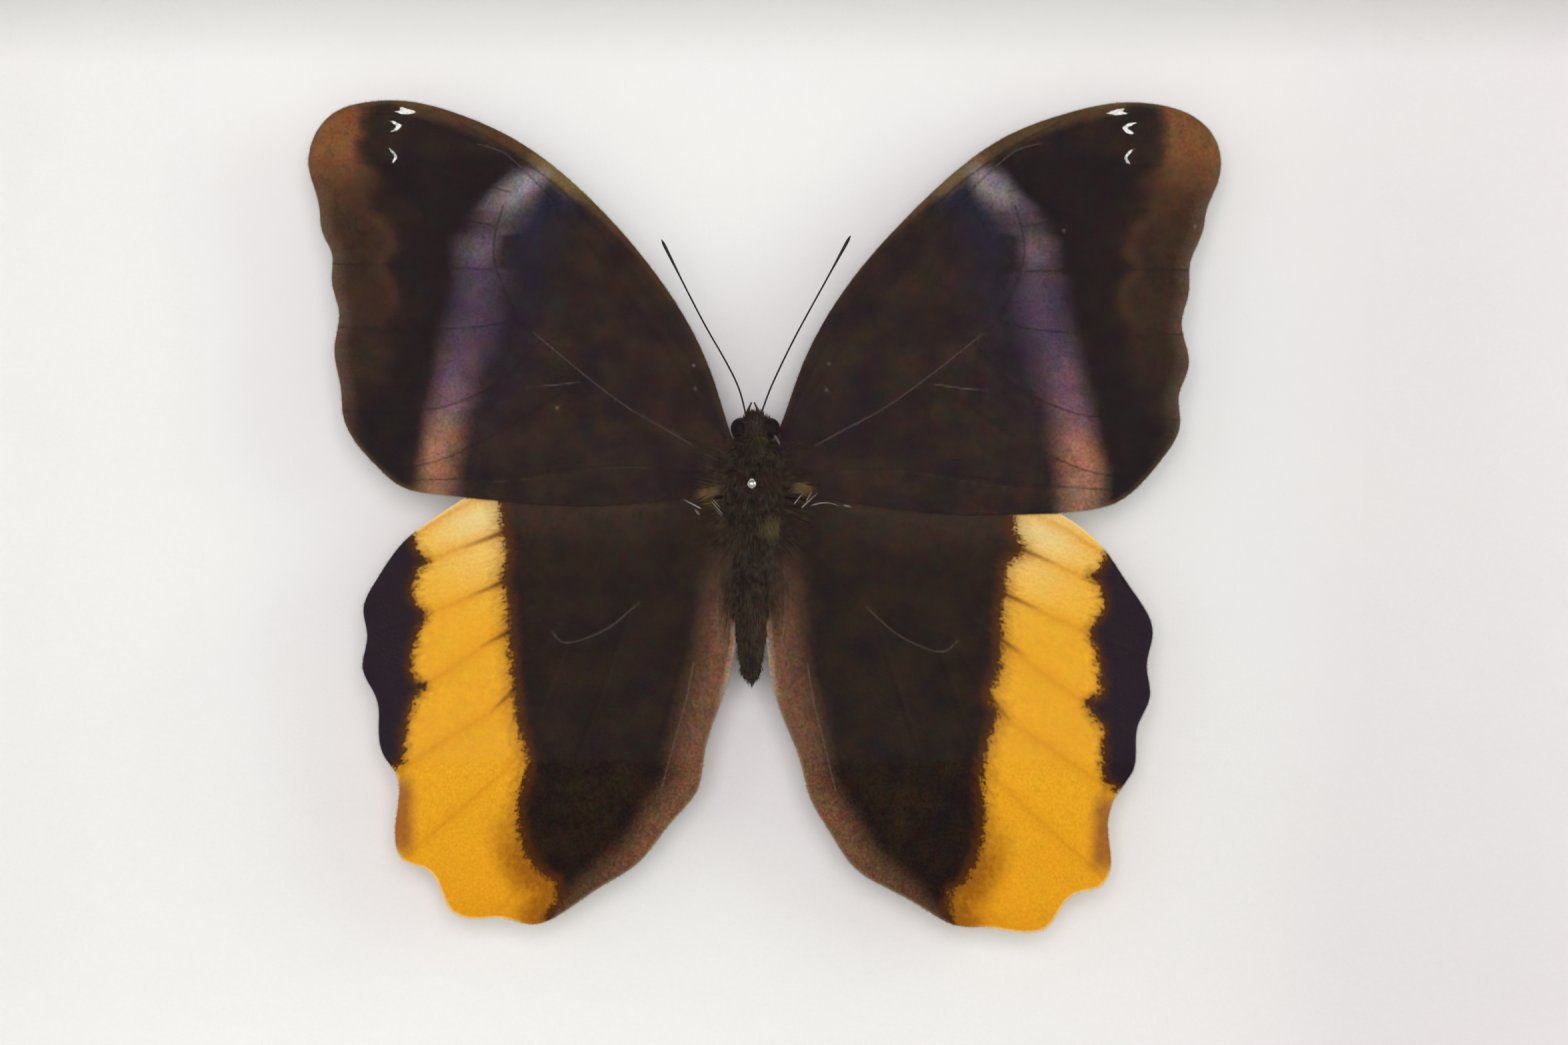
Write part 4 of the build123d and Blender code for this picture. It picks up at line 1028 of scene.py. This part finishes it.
# ---- Geometry Nodes trees ------------------------------------------------------------------------
def fur_tree():
    """Tapered, bent hairs that grow from a surface and lean towards one direction."""
    tree, ask = tree_with("combed_fur", {
        "Count": "Float", "Length": "Float", "Width": "Float", "Comb": "Vector", "Lean": "Float",
        "Seed": "Int", "Material": "Material"})
    spread = {"Mesh": ask["Geometry"], "Density": ask["Count"], "Seed": ask["Seed"]}
    roots = add(tree, "GeometryNodeDistributePointsOnFaces", spread, distribute_method="RANDOM")
    line = add(tree, "GeometryNodeCurveQuadraticBezier", {
        "Resolution": 3, "Start": (0, 0, -0.12), "Middle": (0, 0, 0.55), "End": (0.45, 0, 0.95)})
    share = add(tree, "GeometryNodeSplineParameter").outputs["Factor"]
    taper = add(tree, "ShaderNodeMapRange", {"Value": share, "To Min": 1.0, "To Max": 0.12})
    line = add(tree, "GeometryNodeStoreNamedAttribute", {
        "Geometry": line, "Name": "tip", "Value": share}, data_type="FLOAT", domain="POINT")
    slim = add(tree, "ShaderNodeMath", {0: ask["Width"], 1: ask["Length"]}, operation="DIVIDE")
    ring = add(tree, "GeometryNodeCurvePrimitiveCircle", {"Resolution": 3, "Radius": slim})
    hair = add(tree, "GeometryNodeCurveToMesh", {
        "Curve": line, "Profile Curve": ring, "Scale": taper, "Fill Caps": True})
    stray = add(tree, "FunctionNodeRandomValue", {
        "Min": (-0.45, -0.45, -0.45), "Max": (0.45, 0.45, 0.45), "Seed": ask["Seed"]},
        data_type="FLOAT_VECTOR")
    combed = add(tree, "ShaderNodeVectorMath", {0: ask["Comb"], "Scale": ask["Lean"]}, operation="SCALE")
    outward = roots.outputs["Normal"]
    for push in (combed, stray):
        outward = add(tree, "ShaderNodeVectorMath", {0: outward, 1: push}, operation="ADD")
    stand = add(tree, "FunctionNodeAlignRotationToVector", {"Vector": outward}, axis="Z")
    stand = add(tree, "FunctionNodeAlignRotationToVector", {
        "Rotation": stand, "Vector": ask["Comb"]}, axis="X", pivot_axis="Z")
    grow = add(tree, "FunctionNodeRandomValue", {
        "Min_001": 0.45, "Max_001": 1.0, "Seed": ask["Seed"]}, data_type="FLOAT")
    grow = add(tree, "ShaderNodeMath", {0: grow.outputs[1], 1: ask["Length"]}, operation="MULTIPLY")
    coat = add(tree, "GeometryNodeInstanceOnPoints", {
        "Points": roots.outputs["Points"], "Instance": hair, "Rotation": stand, "Scale": grow})
    shade = add(tree, "FunctionNodeRandomValue", {"Seed": 7}, data_type="FLOAT")
    coat = add(tree, "GeometryNodeStoreNamedAttribute", {
        "Geometry": coat, "Name": "shade", "Value": shade.outputs[1]},
        data_type="FLOAT", domain="INSTANCE")
    return end(tree, coat, ask["Material"])


def fringe_tree():
    """Short flat hair scales along a wing's rim, pointing out of the wing in its own plane."""
    tree, ask = tree_with("wing_fringe", {
        "Spacing": "Float", "Length": "Float", "Width": "Float", "Seed": "Int", "Material": "Material"})
    rim = add(tree, "GeometryNodeMeshToCurve", {"Mesh": ask["Geometry"]})
    rim = add(tree, "GeometryNodeResampleCurve", {"Curve": rim, "Length": ask["Spacing"]}, mode="LENGTH")
    points = add(tree, "GeometryNodeCurveToPoints", {"Curve": rim}, mode="EVALUATED")
    across = {0: (0.0, 1.0, 0.0), 1: points.outputs["Tangent"]}
    outward = add(tree, "ShaderNodeVectorMath", across, operation="CROSS_PRODUCT")
    stray = add(tree, "FunctionNodeRandomValue", {
        "Min": (-0.4, -0.15, -0.4), "Max": (0.4, 0.15, 0.4), "Seed": ask["Seed"]},
        data_type="FLOAT_VECTOR")
    outward = add(tree, "ShaderNodeVectorMath", {0: outward, 1: stray}, operation="ADD")
    turn = add(tree, "FunctionNodeAlignRotationToVector", {"Vector": outward}, axis="Z")
    hair = add(tree, "GeometryNodeMeshCone", {
        "Vertices": 3, "Side Segments": 1, "Radius Top": 0.0, "Radius Bottom": ask["Width"],
        "Depth": ask["Length"]}).outputs["Mesh"]
    grow = add(tree, "FunctionNodeRandomValue", {
        "Min_001": 0.5, "Max_001": 1.1, "Seed": ask["Seed"]}, data_type="FLOAT")
    coat = add(tree, "GeometryNodeInstanceOnPoints", {
        "Points": points.outputs["Points"], "Instance": hair, "Rotation": turn, "Scale": grow.outputs[1]})
    return end(tree, coat, ask["Material"])


def feeler_tree():
    """Ringed tube along a path, which swells to a club near its tip and then closes to a point."""
    tree, ask = tree_with("ringed_feeler", {
        "Radius": "Float", "Club": "Float", "Club Start": "Float", "Rings": "Int", "Ring Depth": "Float",
        "Sides": "Int", "Material": "Material"})
    count = add(tree, "ShaderNodeMath", {0: ask["Rings"], 1: 2.0}, operation="MULTIPLY")
    path = add(tree, "GeometryNodeResampleCurve", {"Curve": ask["Geometry"], "Count": count})
    share = add(tree, "GeometryNodeSplineParameter").outputs["Factor"]
    swell = add(tree, "ShaderNodeMapRange", {
        "Value": share, "From Min": ask["Club Start"], "From Max": 0.97, "To Min": ask["Radius"],
        "To Max": ask["Club"]}, interpolation_type="SMOOTHSTEP")
    close = add(tree, "ShaderNodeMapRange", {
        "Value": share, "From Min": 0.975, "From Max": 1.0, "To Min": 1.0, "To Max": 0.25})
    number = add(tree, "GeometryNodeInputIndex")
    odd = add(tree, "ShaderNodeMath", {0: number, 1: 2.0}, operation="MODULO")
    groove = add(tree, "ShaderNodeMapRange", {"Value": odd, "To Min": 1.0, "To Max": ask["Ring Depth"]})
    width = swell
    for share_left in (close, groove):
        width = add(tree, "ShaderNodeMath", {0: width, 1: share_left}, operation="MULTIPLY")
    path = add(tree, "GeometryNodeStoreNamedAttribute", {
        "Geometry": path, "Name": "tip", "Value": share}, data_type="FLOAT", domain="POINT")
    ring = add(tree, "GeometryNodeCurvePrimitiveCircle", {"Resolution": ask["Sides"], "Radius": 1.0})
    tube = add(tree, "GeometryNodeCurveToMesh", {
        "Curve": path, "Profile Curve": ring, "Scale": width, "Fill Caps": True})
    return end(tree, tube, ask["Material"])


def path_curve(name, routes):
    """Smooth curve object data through each route's points, in metres."""
    curve = bpy.data.curves.new(name, "CURVE")
    curve.dimensions = "3D"
    curve.resolution_u = 8
    for route in routes:
        spline = curve.splines.new("NURBS")
        spline.points.add(len(route) - 1)
        for point, place in zip(spline.points, route):
            point.co = (*place, 1.0)
        spline.order_u = 3
        spline.use_endpoint_u = True
    return curve


# ---- Butterfly -----------------------------------------------------------------------------------
class MakeWings(bpy.types.Operator):
    """Make the four wings with their veins, colours and fringes"""

    bl_idname = "display_case.make_wings"
    bl_label = "Wings"

    def execute(self, context):
        looks = context.scene.wing_looks
        upper = {"forewing": forewing_scales(looks), "hindwing": hindwing_scales(looks)}
        under = underside_scales(looks)
        parts = {"forewing": (fore_places, fore_veins, forewing_marks),
                 "hindwing": (hind_places, hind_veins, hindwing_marks)}
        fringe = fringe_tree()
        for kind, (places, veins, marks_of) in parts.items():
            for number, side in enumerate(("left", "right")):
                node = f"{kind}_{side}"
                mesh, rim = wing(node, side, places, veins, marks_of, looks)
                put(node + "_scales", mesh, "specimen", [upper[kind], under], [node])
                hairs = grown(fringe, rim, {
                    "Spacing": 0.16 * MM, "Length": looks.fringe, "Width": 0.07 * MM,
                    "Seed": number, "Material": upper[kind]})
                put(node + "_fringe", hairs, "specimen", [upper[kind]])
        return {"FINISHED"}


def tapered(place, middle):
    """A place on the abdomen, drawn in towards its middle line near the tail, which it shortens a little."""
    up = (place.z - pin_top.z) / MM
    slim = np.interp(up, [-31, -28, -25, -19], [0.7, 0.7, 0.78, 1.0])
    shorter = max(0.0, -27 - up) * 0.25
    return Vector((middle + (place.x - middle) * slim, place.y, place.z + shorter * MM))


def skin_of(node, voxel, bumps, segment):
    """A body part remeshed evenly from its CAD node, with uneven bumps and, along an abdomen, segments."""
    middle = middle_of(node).x
    carrier = bpy.data.objects.new(node + "_carrier", plain(merged(node), node + "_skin"))
    bpy.context.scene.collection.objects.link(carrier)
    even = carrier.modifiers.new("even", "REMESH")
    even.mode = "VOXEL"
    even.voxel_size = voxel * MM
    carrier.modifiers.new("smooth", "SMOOTH").iterations = 4
    made = baked(carrier)
    bump_width, segment_height = 1.6, 0.11
    for vertex in made.vertices:
        place = vertex.co
        swell = bumps * noise.noise(place / (bump_width * MM))
        if segment:
            turns = (place.z - pin_top.z) / (segment * MM)
            swell += segment_height * math.sin(2 * math.pi * turns)
            place = tapered(place, middle)
        vertex.co = place + vertex.normal * swell * MM
    return smooth_shaded(made)


class MakeBody(bpy.types.Operator):
    """Make the thorax, abdomen and head with their fur"""

    bl_idname = "display_case.make_body"
    bl_label = "Furry body"

    def execute(self, context):
        looks = context.scene.body_looks
        skin = dark_cuticle("furred_cuticle", looks.fur_brown, 0.7)
        fur = body_fur(looks)
        grow = fur_tree()
        to_square_metre = looks.fur_count * 1e4
        # For each part: voxel, height of its bumps and length of its segments, all in millimetres, the
        # share of the fur's length that it grows, and which way and how far the fur is combed.
        parts = {
            "thorax": (0.3, 0.15, None, 1.1, (0.0, -0.1, -1.0), 0.7),
            "abdomen": (0.25, 0.1, 2.9, 0.8, (0.0, -0.1, -1.0), 1.2),
            "head": (0.22, 0.08, None, 0.6, (0.0, -0.4, 1.0), 0.5),
        }
        for number, (node, part) in enumerate(parts.items()):
            voxel, bumps, segment, share, comb, lean = part
            mesh = skin_of(node, voxel, bumps, segment)
            put(node + "_skin", mesh, "specimen", [skin], [node])
            hairs = grown(grow, mesh.copy(), {
                "Count": to_square_metre, "Length": looks.fur_length * share,
                "Width": looks.fur_width, "Comb": comb, "Lean": lean, "Seed": number, "Material": fur})
            put(node + "_fur", hairs, "specimen", [fur])
        return {"FINISHED"}


# Tufts of long hair at the wing bases, in millimetres from the pin: the line that the roots start on,
# the line that the tips reach, how far in front of the hindwing's face they lie, and the hairs.
base_tufts = {
    "left": [([(-3.2, 4.5), (-3.4, -1.5)], [(-9, 7), (-9.5, -0.8)], 1.1, 160),
             ([(-3.4, -2), (-2.8, -8)], [(-10.5, -3.2), (-6.5, -14)], 0.5, 190),
             ([(-2.6, -8), (-2.4, -13)], [(-7, -18), (-3.8, -27)], 0.4, 130),
             ([(-3.2, 0.4), (-5.6, -0.6)], [(-8.6, -3.4), (-11, -1.6)], 1.2, 110)],
    "right": [([(3.2, 4.5), (3.6, -1.5)], [(9, 7), (10, -0.8)], 1.1, 160),
              ([(3.4, -2), (2.8, -8)], [(10.5, -3), (6.5, -14)], 0.5, 190),
              ([(2.6, -8), (2.2, -13)], [(6.6, -18), (3.2, -27)], 0.4, 130),
              ([(3.4, 1.2), (6, 0.2)], [(9, -2.6), (12, -1)], 1.2, 110)],
}
# Silvery hairs over the wing bases, in millimetres across and up from the pin. Their pale colour is partly a
# painted highlight, where shiny strands glint.
silver_glint_strokes = [
    [(-5, -3.5), (-5.6, -2.9), (-6.2, -2.2)],
    [(-7.9, -3.6), (-9.2, -2.9), (-10.6, -2.2)],
    [(-8, -4.3), (-8.4, -3.9), (-8.7, -3.6)],
    [(6.2, -2.8), (6.9, -1.9), (7.6, -1.1)],
    [(7.2, -3.3), (8.3, -2.3), (9.6, -1.1)],
    [(9, -2.9), (11, -2.1), (12.9, -3)],
    [(13.6, -3.1), (14.2, -3.2), (14.8, -3.4)],
    [(5.4, -1), (6.2, -0.4), (7, -0.2)],
    [(8, -2.2), (8.6, -1.2), (9, -0.4)],
    [(-4.6, -4.4), (-5.2, -3.8), (-5.7, -3.1)],
    [(3.3, 7.5), (3.9, 7), (4.1, 6.2)],
]


def tuft_routes(side, chance):
    """Routes of the long dark hairs on one side, spread evenly between the given roots and tips."""
    routes = []
    for roots, tips, lift, count in base_tufts[side]:
        for share in (np.arange(count) + chance.uniform(-0.4, 0.4, count)) / count:
            root = np.array(roots[0]) * (1 - share) + np.array(roots[1]) * share
            tip = np.array(tips[0]) * (1 - share) + np.array(tips[1]) * share
            tip = root + (tip - root) * chance.uniform(0.45, 1.0) + chance.normal(0, 0.35, 2)
            middle = (root + tip) / 2 + chance.normal(0, 0.25, 2)
            front = hind_face_y - (lift + chance.uniform(0, 0.35)) * MM
            routes.append([from_pin(x, front + drop * MM, z)
                           for (x, z), drop in zip((root, middle, tip), (0.4, -0.15, 0.05))])
    return routes


def stroke_routes(chance):
    """Routes of the silvery hairs, partly painted highlights: a few beside each other along every given
    stroke.
    """
    routes = []
    for stroke in silver_glint_strokes:
        for _ in range(2):
            shift = chance.normal(0, 0.13, 2)
            front = fore_face_y - chance.uniform(0.15, 0.45) * MM
            routes.append([from_pin(x + shift[0], front, z + shift[1]) for x, z in stroke])
    return routes


def put_tubes(tree, name, routes, material, shape, replaces=()):
    """Puts ringed tubes along some routes into the scene. shape is the radius, the club's radius and the
    place where it starts, the number of rings and how deep they are, and the number of sides."""
    radius, club, start, rings, depth, sides = shape
    tube = grown(tree, path_curve(name, routes), {
        "Radius": radius * MM, "Club": club * MM, "Club Start": start, "Rings": rings, "Ring Depth": depth,
        "Sides": sides, "Material": material})
    put(name, tube, "specimen", [material], replaces)


class MakeWingHairs(bpy.types.Operator):
    """Make the long hairs over the wing bases and their few silvery strokes, which are partly painted
    highlights
    """

    bl_idname = "display_case.make_wing_hairs"
    bl_label = "Wing base hairs"

    def execute(self, context):
        looks = context.scene.body_looks
        fur, silver_glint = base_hair(looks), silver_glint_hair(looks)
        grow = feeler_tree()
        chance = np.random.default_rng(5)
        for side in ("left", "right"):
            put_tubes(grow, "wing_base_hair_" + side, tuft_routes(side, chance), fur,
                      (0.04, 0.015, 0.0, 3, 1.0, 3))
        # Silvery strokes, partly painted highlights where shiny strands glint
        put_tubes(grow, "silver_glint_hair_strokes", stroke_routes(chance), silver_glint,
                  (0.03, 0.015, 0.0, 3, 1.0, 3))
        return {"FINISHED"}


# Paths in millimetres from the pin: the feelers across and up, the palps across, up and back from the middle
# of the body, and one leg across, back from the middle of the wings, and up, with the rise of each pair.
feeler_routes = {
    "left": [(-0.9, 9.6), (-1.4, 12.2), (-2.3, 15.2), (-4.4, 19.2), (-6.95, 23.5), (-9.5, 28.4),
             (-11.9, 33.2), (-13.75, 36.9)],
    "right": [(1, 10), (2, 13.2), (3.9, 17.4), (6.1, 21.9), (8.6, 26.5), (11.6, 31.9), (14.65, 37.5)],
}
palp_routes = [
    [(-0.95, 9.6, 0), (-0.85, 10.9, -0.35), (-0.5, 11.9, -0.55), (-0.2, 12.5, -0.6)],
    [(1.05, 9.6, 0), (0.9, 10.8, -0.35), (0.5, 11.8, -0.55), (0.15, 12.5, -0.6)],
]
leg_route = [(1.6, 3.6, 2.6), (4.6, 6.6, 4.4), (3.4, 8.6, -1.2), (1.8, 9.6, -6.4)]
leg_lifts = (1.2, -3.2)


class MakeFace(bpy.types.Operator):
    """Make the eyes, palps, antennae and legs"""

    bl_idname = "display_case.make_face"
    bl_label = "Eyes, feelers and legs"

    def execute(self, context):
        looks = context.scene.body_looks
        cuticle = dark_cuticle("waxy_cuticle", looks.feeler, 0.4)
        scaly = dark_cuticle("scaly_cuticle", looks.palp, 0.7)
        grow = feeler_tree()
        for side, route in feeler_routes.items():
            routes = [[from_pin(x, feeler_y, z) for x, z in route]]
            put_tubes(grow, f"antenna_{side}_rings", routes, cuticle,
                      (0.15, 0.27, 0.76, 70, 0.86, 10), ["antenna_" + side])
        routes = [[from_pin(x, body_y + y * MM, z) for x, z, y in route] for route in palp_routes]
        put_tubes(grow, "palps_scales", routes, scaly,
                  (0.42, 0.12, 0.1, 14, 0.97, 12), ["palps"])
        wing_plane = (fore_face_y + hind_face_y) / 2
        routes = [[from_pin(hand * x, wing_plane + y * MM, z + lift) for x, y, z in leg_route]
                  for lift in leg_lifts for hand in (-1, 1)]
        put_tubes(grow, "legs_jointed", routes, cuticle,
                  (0.26, 0.14, 0.1, 18, 0.9, 10), ["legs"])
        low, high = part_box("eyes")
        radius = (high.z - low.z) / 2
        middle = middle_of("eyes")
        centres = [(x, middle.y, middle.z) for x in (low.x + radius, high.x - radius)]
        mesh = balls("eyes_lenses", centres, radius, 24, 0.93)
        put("eyes_lenses", mesh, "specimen", [compound_eye(looks)], ["eyes"])
        return {"FINISHED"}


class MakePin(bpy.types.Operator):
    """Give the insect pin its polished steel"""

    bl_idname = "display_case.make_pin"
    bl_label = "Insect pin"

    def execute(self, context):
        steel = polished_steel()
        finish_node("insect_pin", steel)
        low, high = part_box("pin_head")
        mesh = balls("pin_head_ball", [pin_top], (high.x - low.x) / 2, 32)
        put("pin_head_ball", mesh, "specimen", [steel], ["pin_head"])
        return {"FINISHED"}


# ---- Case ----------------------------------------------------------------------------------------
def softened(node, width, material):
    """Stands for a CAD node: the same shape with its edges rounded and its curves shaded smooth."""
    low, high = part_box(node)
    flat, corner, crease = (math.radians(angle) for angle in (1, 35, 30))
    work = merged(node)
    bmesh.ops.dissolve_limit(
        work, angle_limit=flat, verts=work.verts, edges=work.edges, delimit={"NORMAL"})
    sharp = [e for e in work.edges if len(e.link_faces) == 2 and e.calc_face_angle() > corner]
    if width > 0:
        bmesh.ops.bevel(
            work, geom=sharp, offset=width, offset_type="OFFSET", segments=2, profile=0.5,
            affect="EDGES", clamp_overlap=True)
    for vert in work.verts:
        vert.co = Vector(np.clip(vert.co, low, high))
    mesh = plain(work, node + "_finished")
    mesh.set_sharp_from_angle(angle=crease)
    made = put(node + "_finished", mesh, frame["nodes"][node]["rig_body"], [material], [node])
    shading = made.modifiers.new("flat_faces_stay_flat", "WEIGHTED_NORMAL")
    shading.weight = 100
    shading.keep_sharp = True


class MakeWoodwork(bpy.types.Operator):
    """Make the walnut rails of the case and lid, and the glazing beads"""

    bl_idname = "display_case.make_woodwork"
    bl_label = "Walnut rails"

    def execute(self, context):
        looks = context.scene.case_looks
        level = oiled_walnut(looks, "oiled_walnut_level", (0.0, 0.0, 0.0))
        upright = oiled_walnut(looks, "oiled_walnut_upright", (0.0, math.radians(90), 0.0))
        for group in ("case_rail", "lid_rail", "glazing_bead"):
            for side, wood in (("top", level), ("bottom", level), ("left", upright), ("right", upright)):
                softened(f"{group}_{side}", looks.edge, wood)
        return {"FINISHED"}


class MakeLining(bpy.types.Operator):
    """Give the liners, foam, ground paper, felt seal and back panel their materials"""

    bl_idname = "display_case.make_lining"
    bl_label = "Lining and back"

    def execute(self, context):
        looks = context.scene.case_looks
        board = fibrous("paper_covered_board", looks.liner, "#ecebe9", 0.6, 0.8, 0.02)
        paper = fibrous("laid_cotton_paper", looks.paper, "#f3f1f2", 0.5, 0.95, 0.03)
        foam = fibrous("cut_foam_sheet", looks.foam, "#d9d7d0", 0.8, 0.9, 0.15)
        felt = fibrous("pressed_wool_felt", looks.felt, "#33343a", 0.4, 1.0, 0.2)
        nodes = {"liner_top": board, "liner_bottom": board, "liner_left": board, "liner_right": board,
                 "ground_paper": paper, "foam_base": foam, "dust_seal": felt}
        for node, material in nodes.items():
            finish_node(node, material)
        softened("back_panel", 0.3 * MM, birch_plywood(looks))
        return {"FINISHED"}


class MakeGlass(bpy.types.Operator):
    """Give the pane its clear glass"""

    bl_idname = "display_case.make_glass"
    bl_label = "Glass pane"

    def execute(self, context):
        finish_node("glass_pane", coated_glass())
        return {"FINISHED"}


class MakeHardware(bpy.types.Operator):
    """Make the hinges, hooks, screws, hangers and bumpers"""

    bl_idname = "display_case.make_hardware"
    bl_label = "Hardware"

    def execute(self, context):
        looks = context.scene.case_looks
        brass = worked_metal("rolled_brass", looks.brass, "#9c8253", 0.22)
        zinc = worked_metal("zinc_plated_steel", looks.zinc, "#8f9499", 0.3)
        rubber = black_rubber(looks)
        fine = 0.12 * MM
        for place in ("lower", "upper"):
            for part in ("case_leaf", "lid_leaf", "pin"):
                softened(f"hinge_{place}_{part}", fine, brass)
            softened("hook_" + place, fine * 1.5, brass)
        for node in ("hinge_case_screws", "hinge_lid_screws", "hook_pivot_screws", "hook_washers",
                     "keeper_screws"):
            softened(node, 0.0, brass)
        for side in ("left", "right"):
            softened("hanger_strap_" + side, fine, zinc)
            softened("hanger_ring_" + side, 0.0, zinc)
        softened("hanger_screws", 0.0, zinc)
        softened("panel_points", 0.05 * MM, zinc)
        softened("bumpers", 0.0, rubber)
        return {"FINISHED"}


# ---- Studio --------------------------------------------------------------------------------------
# What the camera looks at, in millimetres across and up from the pin.
view_centre = (4.65, -5.6)


def light(looks, name, aim, degrees, power, colour):
    """Square soft light aimed at the butterfly, by degrees to the right of the camera and above it."""
    lamp = bpy.data.lights.new(name, "AREA")
    lamp.shape = "SQUARE"
    lamp.size = looks.light_width
    lamp.energy = power
    lamp.color = linear(colour)[:3]
    box = bpy.data.objects.new(name, lamp)
    bpy.context.scene.collection.objects.link(box)
    across, up = (math.radians(angle) for angle in degrees)
    toward = Vector((math.sin(across) * math.cos(up), -math.cos(across) * math.cos(up), math.sin(up)))
    box.location = aim + toward * looks.light_distance
    box.rotation_euler = toward.to_track_quat("Z", "Y").to_euler()


def floor(looks):
    """Plain pale floor under the case's bottom rail."""
    half = 3.0
    corners = [(-half, -half, 0), (half, -half, 0), (half, half, 0), (-half, half, 0)]
    mesh = bpy.data.meshes.new("floor")
    mesh.from_pydata(corners, [], [(0, 1, 2, 3)])
    made, tree = surface("matt_floor", Roughness=0.9, Specular_IOR_Level=0.2)
    clouds = patterns(tree, (180.0, 2))[1]
    mesh.materials.append(finished(made, paint(tree, looks.floor, [(clouds, "#d4d3d1")])))
    ground = bpy.data.objects.new("floor", mesh)
    bpy.context.scene.collection.objects.link(ground)


class MakeStudio(bpy.types.Operator):
    """Make the camera, the soft lights and the plain floor"""

    bl_idname = "display_case.make_studio"
    bl_label = "Camera, light and floor"

    def execute(self, context):
        looks = context.scene.studio_looks
        scene = context.scene
        aim = from_pin(view_centre[0], fore_face_y, view_centre[1])
        camera = bpy.data.cameras.new("view")
        camera.sensor_width = 36.0
        camera.lens = camera.sensor_width * looks.distance / looks.view_width
        camera.clip_start = 0.01
        scene.camera = bpy.data.objects.new("view", camera)
        scene.collection.objects.link(scene.camera)
        scene.camera.location = aim - Vector((0.0, looks.distance, 0.0))
        scene.camera.rotation_euler = (math.radians(90), 0.0, 0.0)
        light(looks, "front", aim, (0, 6), looks.front_watts, "#fff1f8")
        light(looks, "right", aim, (65, 12), looks.right_watts, "#efffee")
        light(looks, "left", aim, (-45, 10), looks.left_watts, "#ffffff")
        world = bpy.data.worlds.new("soft_sky")
        world.use_nodes = True
        world.node_tree.nodes["Background"].inputs["Color"].default_value = rgba(looks.sky)
        scene.world = world
        floor(looks)
        scene.view_settings.view_transform = "Standard"
        return {"FINISHED"}


# ---- Panel, registration and run -----------------------------------------------------------------
looks_groups = {"case_looks": CaseLooks, "wing_looks": WingLooks, "body_looks": BodyLooks,
                "studio_looks": StudioLooks}
makers = [MakeWoodwork, MakeLining, MakeGlass, MakeHardware, MakePin, MakeWings, MakeBody, MakeWingHairs,
          MakeFace, MakeStudio]


class DisplayCasePanel(bpy.types.Panel):
    """Lists what the display case is made of, with its sizes and colours"""

    bl_idname = "VIEW3D_PT_display_case"
    bl_label = "Display case"
    bl_space_type = "VIEW_3D"
    bl_region_type = "UI"
    bl_category = "Display case"

    def draw(self, context):
        for maker in makers:
            self.layout.operator(maker.bl_idname)
        for name, group in looks_groups.items():
            box = self.layout.box()
            box.label(text=group.__doc__)
            for field in group.__annotations__:
                box.prop(getattr(context.scene, name), field)


def register():
    """Register the settings, the operators and the panel."""
    for name, group in looks_groups.items():
        bpy.utils.register_class(group)
        setattr(bpy.types.Scene, name, bpy.props.PointerProperty(type=group))
    for item in [*makers, DisplayCasePanel]:
        bpy.utils.register_class(item)


def unregister():
    """Remove what register added, in reverse."""
    for item in reversed([*makers, DisplayCasePanel]):
        bpy.utils.unregister_class(item)
    for name, group in reversed(looks_groups.items()):
        delattr(bpy.types.Scene, name)
        bpy.utils.unregister_class(group)


def main():
    """Make every piece and the stage."""
    register()
    for maker in makers:
        group, name = maker.bl_idname.split(".")
        getattr(getattr(bpy.ops, group), name)()


if __name__ == "__main__":
    main()
